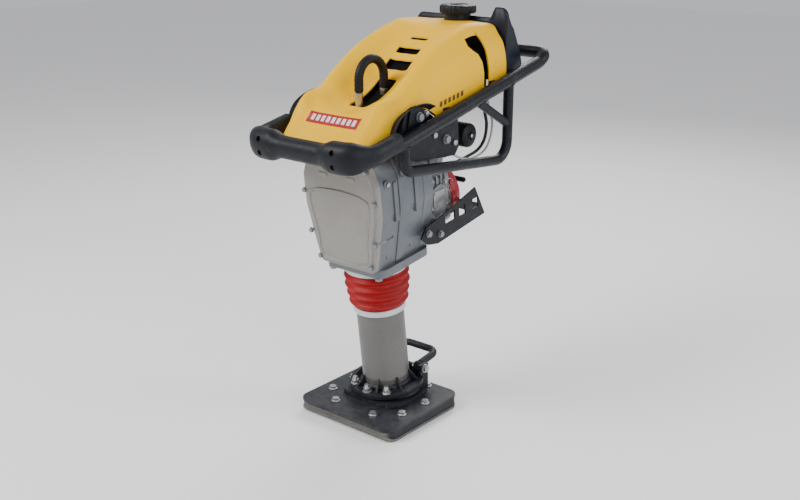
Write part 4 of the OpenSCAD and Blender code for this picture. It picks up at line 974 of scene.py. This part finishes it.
floor_mat = bpy.data.materials.new("floor")
floor_mat.use_nodes = True
floor_mat.node_tree.nodes["Principled BSDF"].inputs["Base Color"].default_value = (0.93, 0.93, 0.925, 1)
floor_mat.node_tree.nodes["Principled BSDF"].inputs["Roughness"].default_value = 0.6
me = bpy.data.meshes.new("floor")
FLOOR_R, FLOOR_Z = 9.0, -0.0006
corners = [(-FLOOR_R, -FLOOR_R), (FLOOR_R, -FLOOR_R), (FLOOR_R, FLOOR_R), (-FLOOR_R, FLOOR_R)]
me.from_pydata([(x, y, FLOOR_Z) for x, y in corners], [], [(0, 1, 2, 3)])
me.materials.append(floor_mat)
floor = bpy.data.objects.new("floor", me)
bpy.context.collection.objects.link(floor)

world = bpy.data.worlds.new("studio")
bpy.context.scene.world = world
world.use_nodes = True
world.node_tree.nodes["Background"].inputs["Color"].default_value = (0.95, 0.96, 1.0, 1)
world.node_tree.nodes["Background"].inputs["Strength"].default_value = 0.62


def area(name, place, target, size, power, color=(1, 1, 1)):
    """A soft rectangular light that faces a target."""
    light = bpy.data.lights.new(name, "AREA")
    light.shape = "RECTANGLE"
    light.size, light.size_y = size
    light.energy, light.color = power, color
    o = bpy.data.objects.new(name, light)
    o.location = place
    o.rotation_mode = "QUATERNION"
    o.rotation_quaternion = (Vector(target) - Vector(place)).to_track_quat("-Z", "Y")
    bpy.context.collection.objects.link(o)


area("key", (-1.3, -2.2, 2.6), (0, 0, 0.5), (1.6, 1.6), 105, (1.0, 0.985, 0.96))
area("fill", (2.6, -0.9, 1.5), (0, 0, 0.5), (1.4, 1.8), 26, (0.93, 0.96, 1.0))
area("back", (-0.8, 2.4, 2.2), (0, 0, 0.6), (1.5, 1.2), 45)
area("strip", (1.9, 1.2, 1.3), (0, 0, 0.6), (0.4, 1.6), 18)

cam_data = bpy.data.cameras.new("camera")
cam_data.sensor_width, cam_data.lens = 36.0, LENS
cam_data.clip_start, cam_data.clip_end = 0.05, 60
cam = bpy.data.objects.new("camera", cam_data)
bpy.context.collection.objects.link(cam)
az, el = math.radians(AZIMUTH), math.radians(ELEVATION)
back = Vector((math.sin(az) * math.cos(el), -math.cos(az) * math.cos(el), math.sin(el)))
cam.location = CAMERA_PLACE
cam.rotation_mode = "QUATERNION"
cam.rotation_quaternion = (-back).to_track_quat("-Z", "Y")
bpy.context.scene.camera = cam
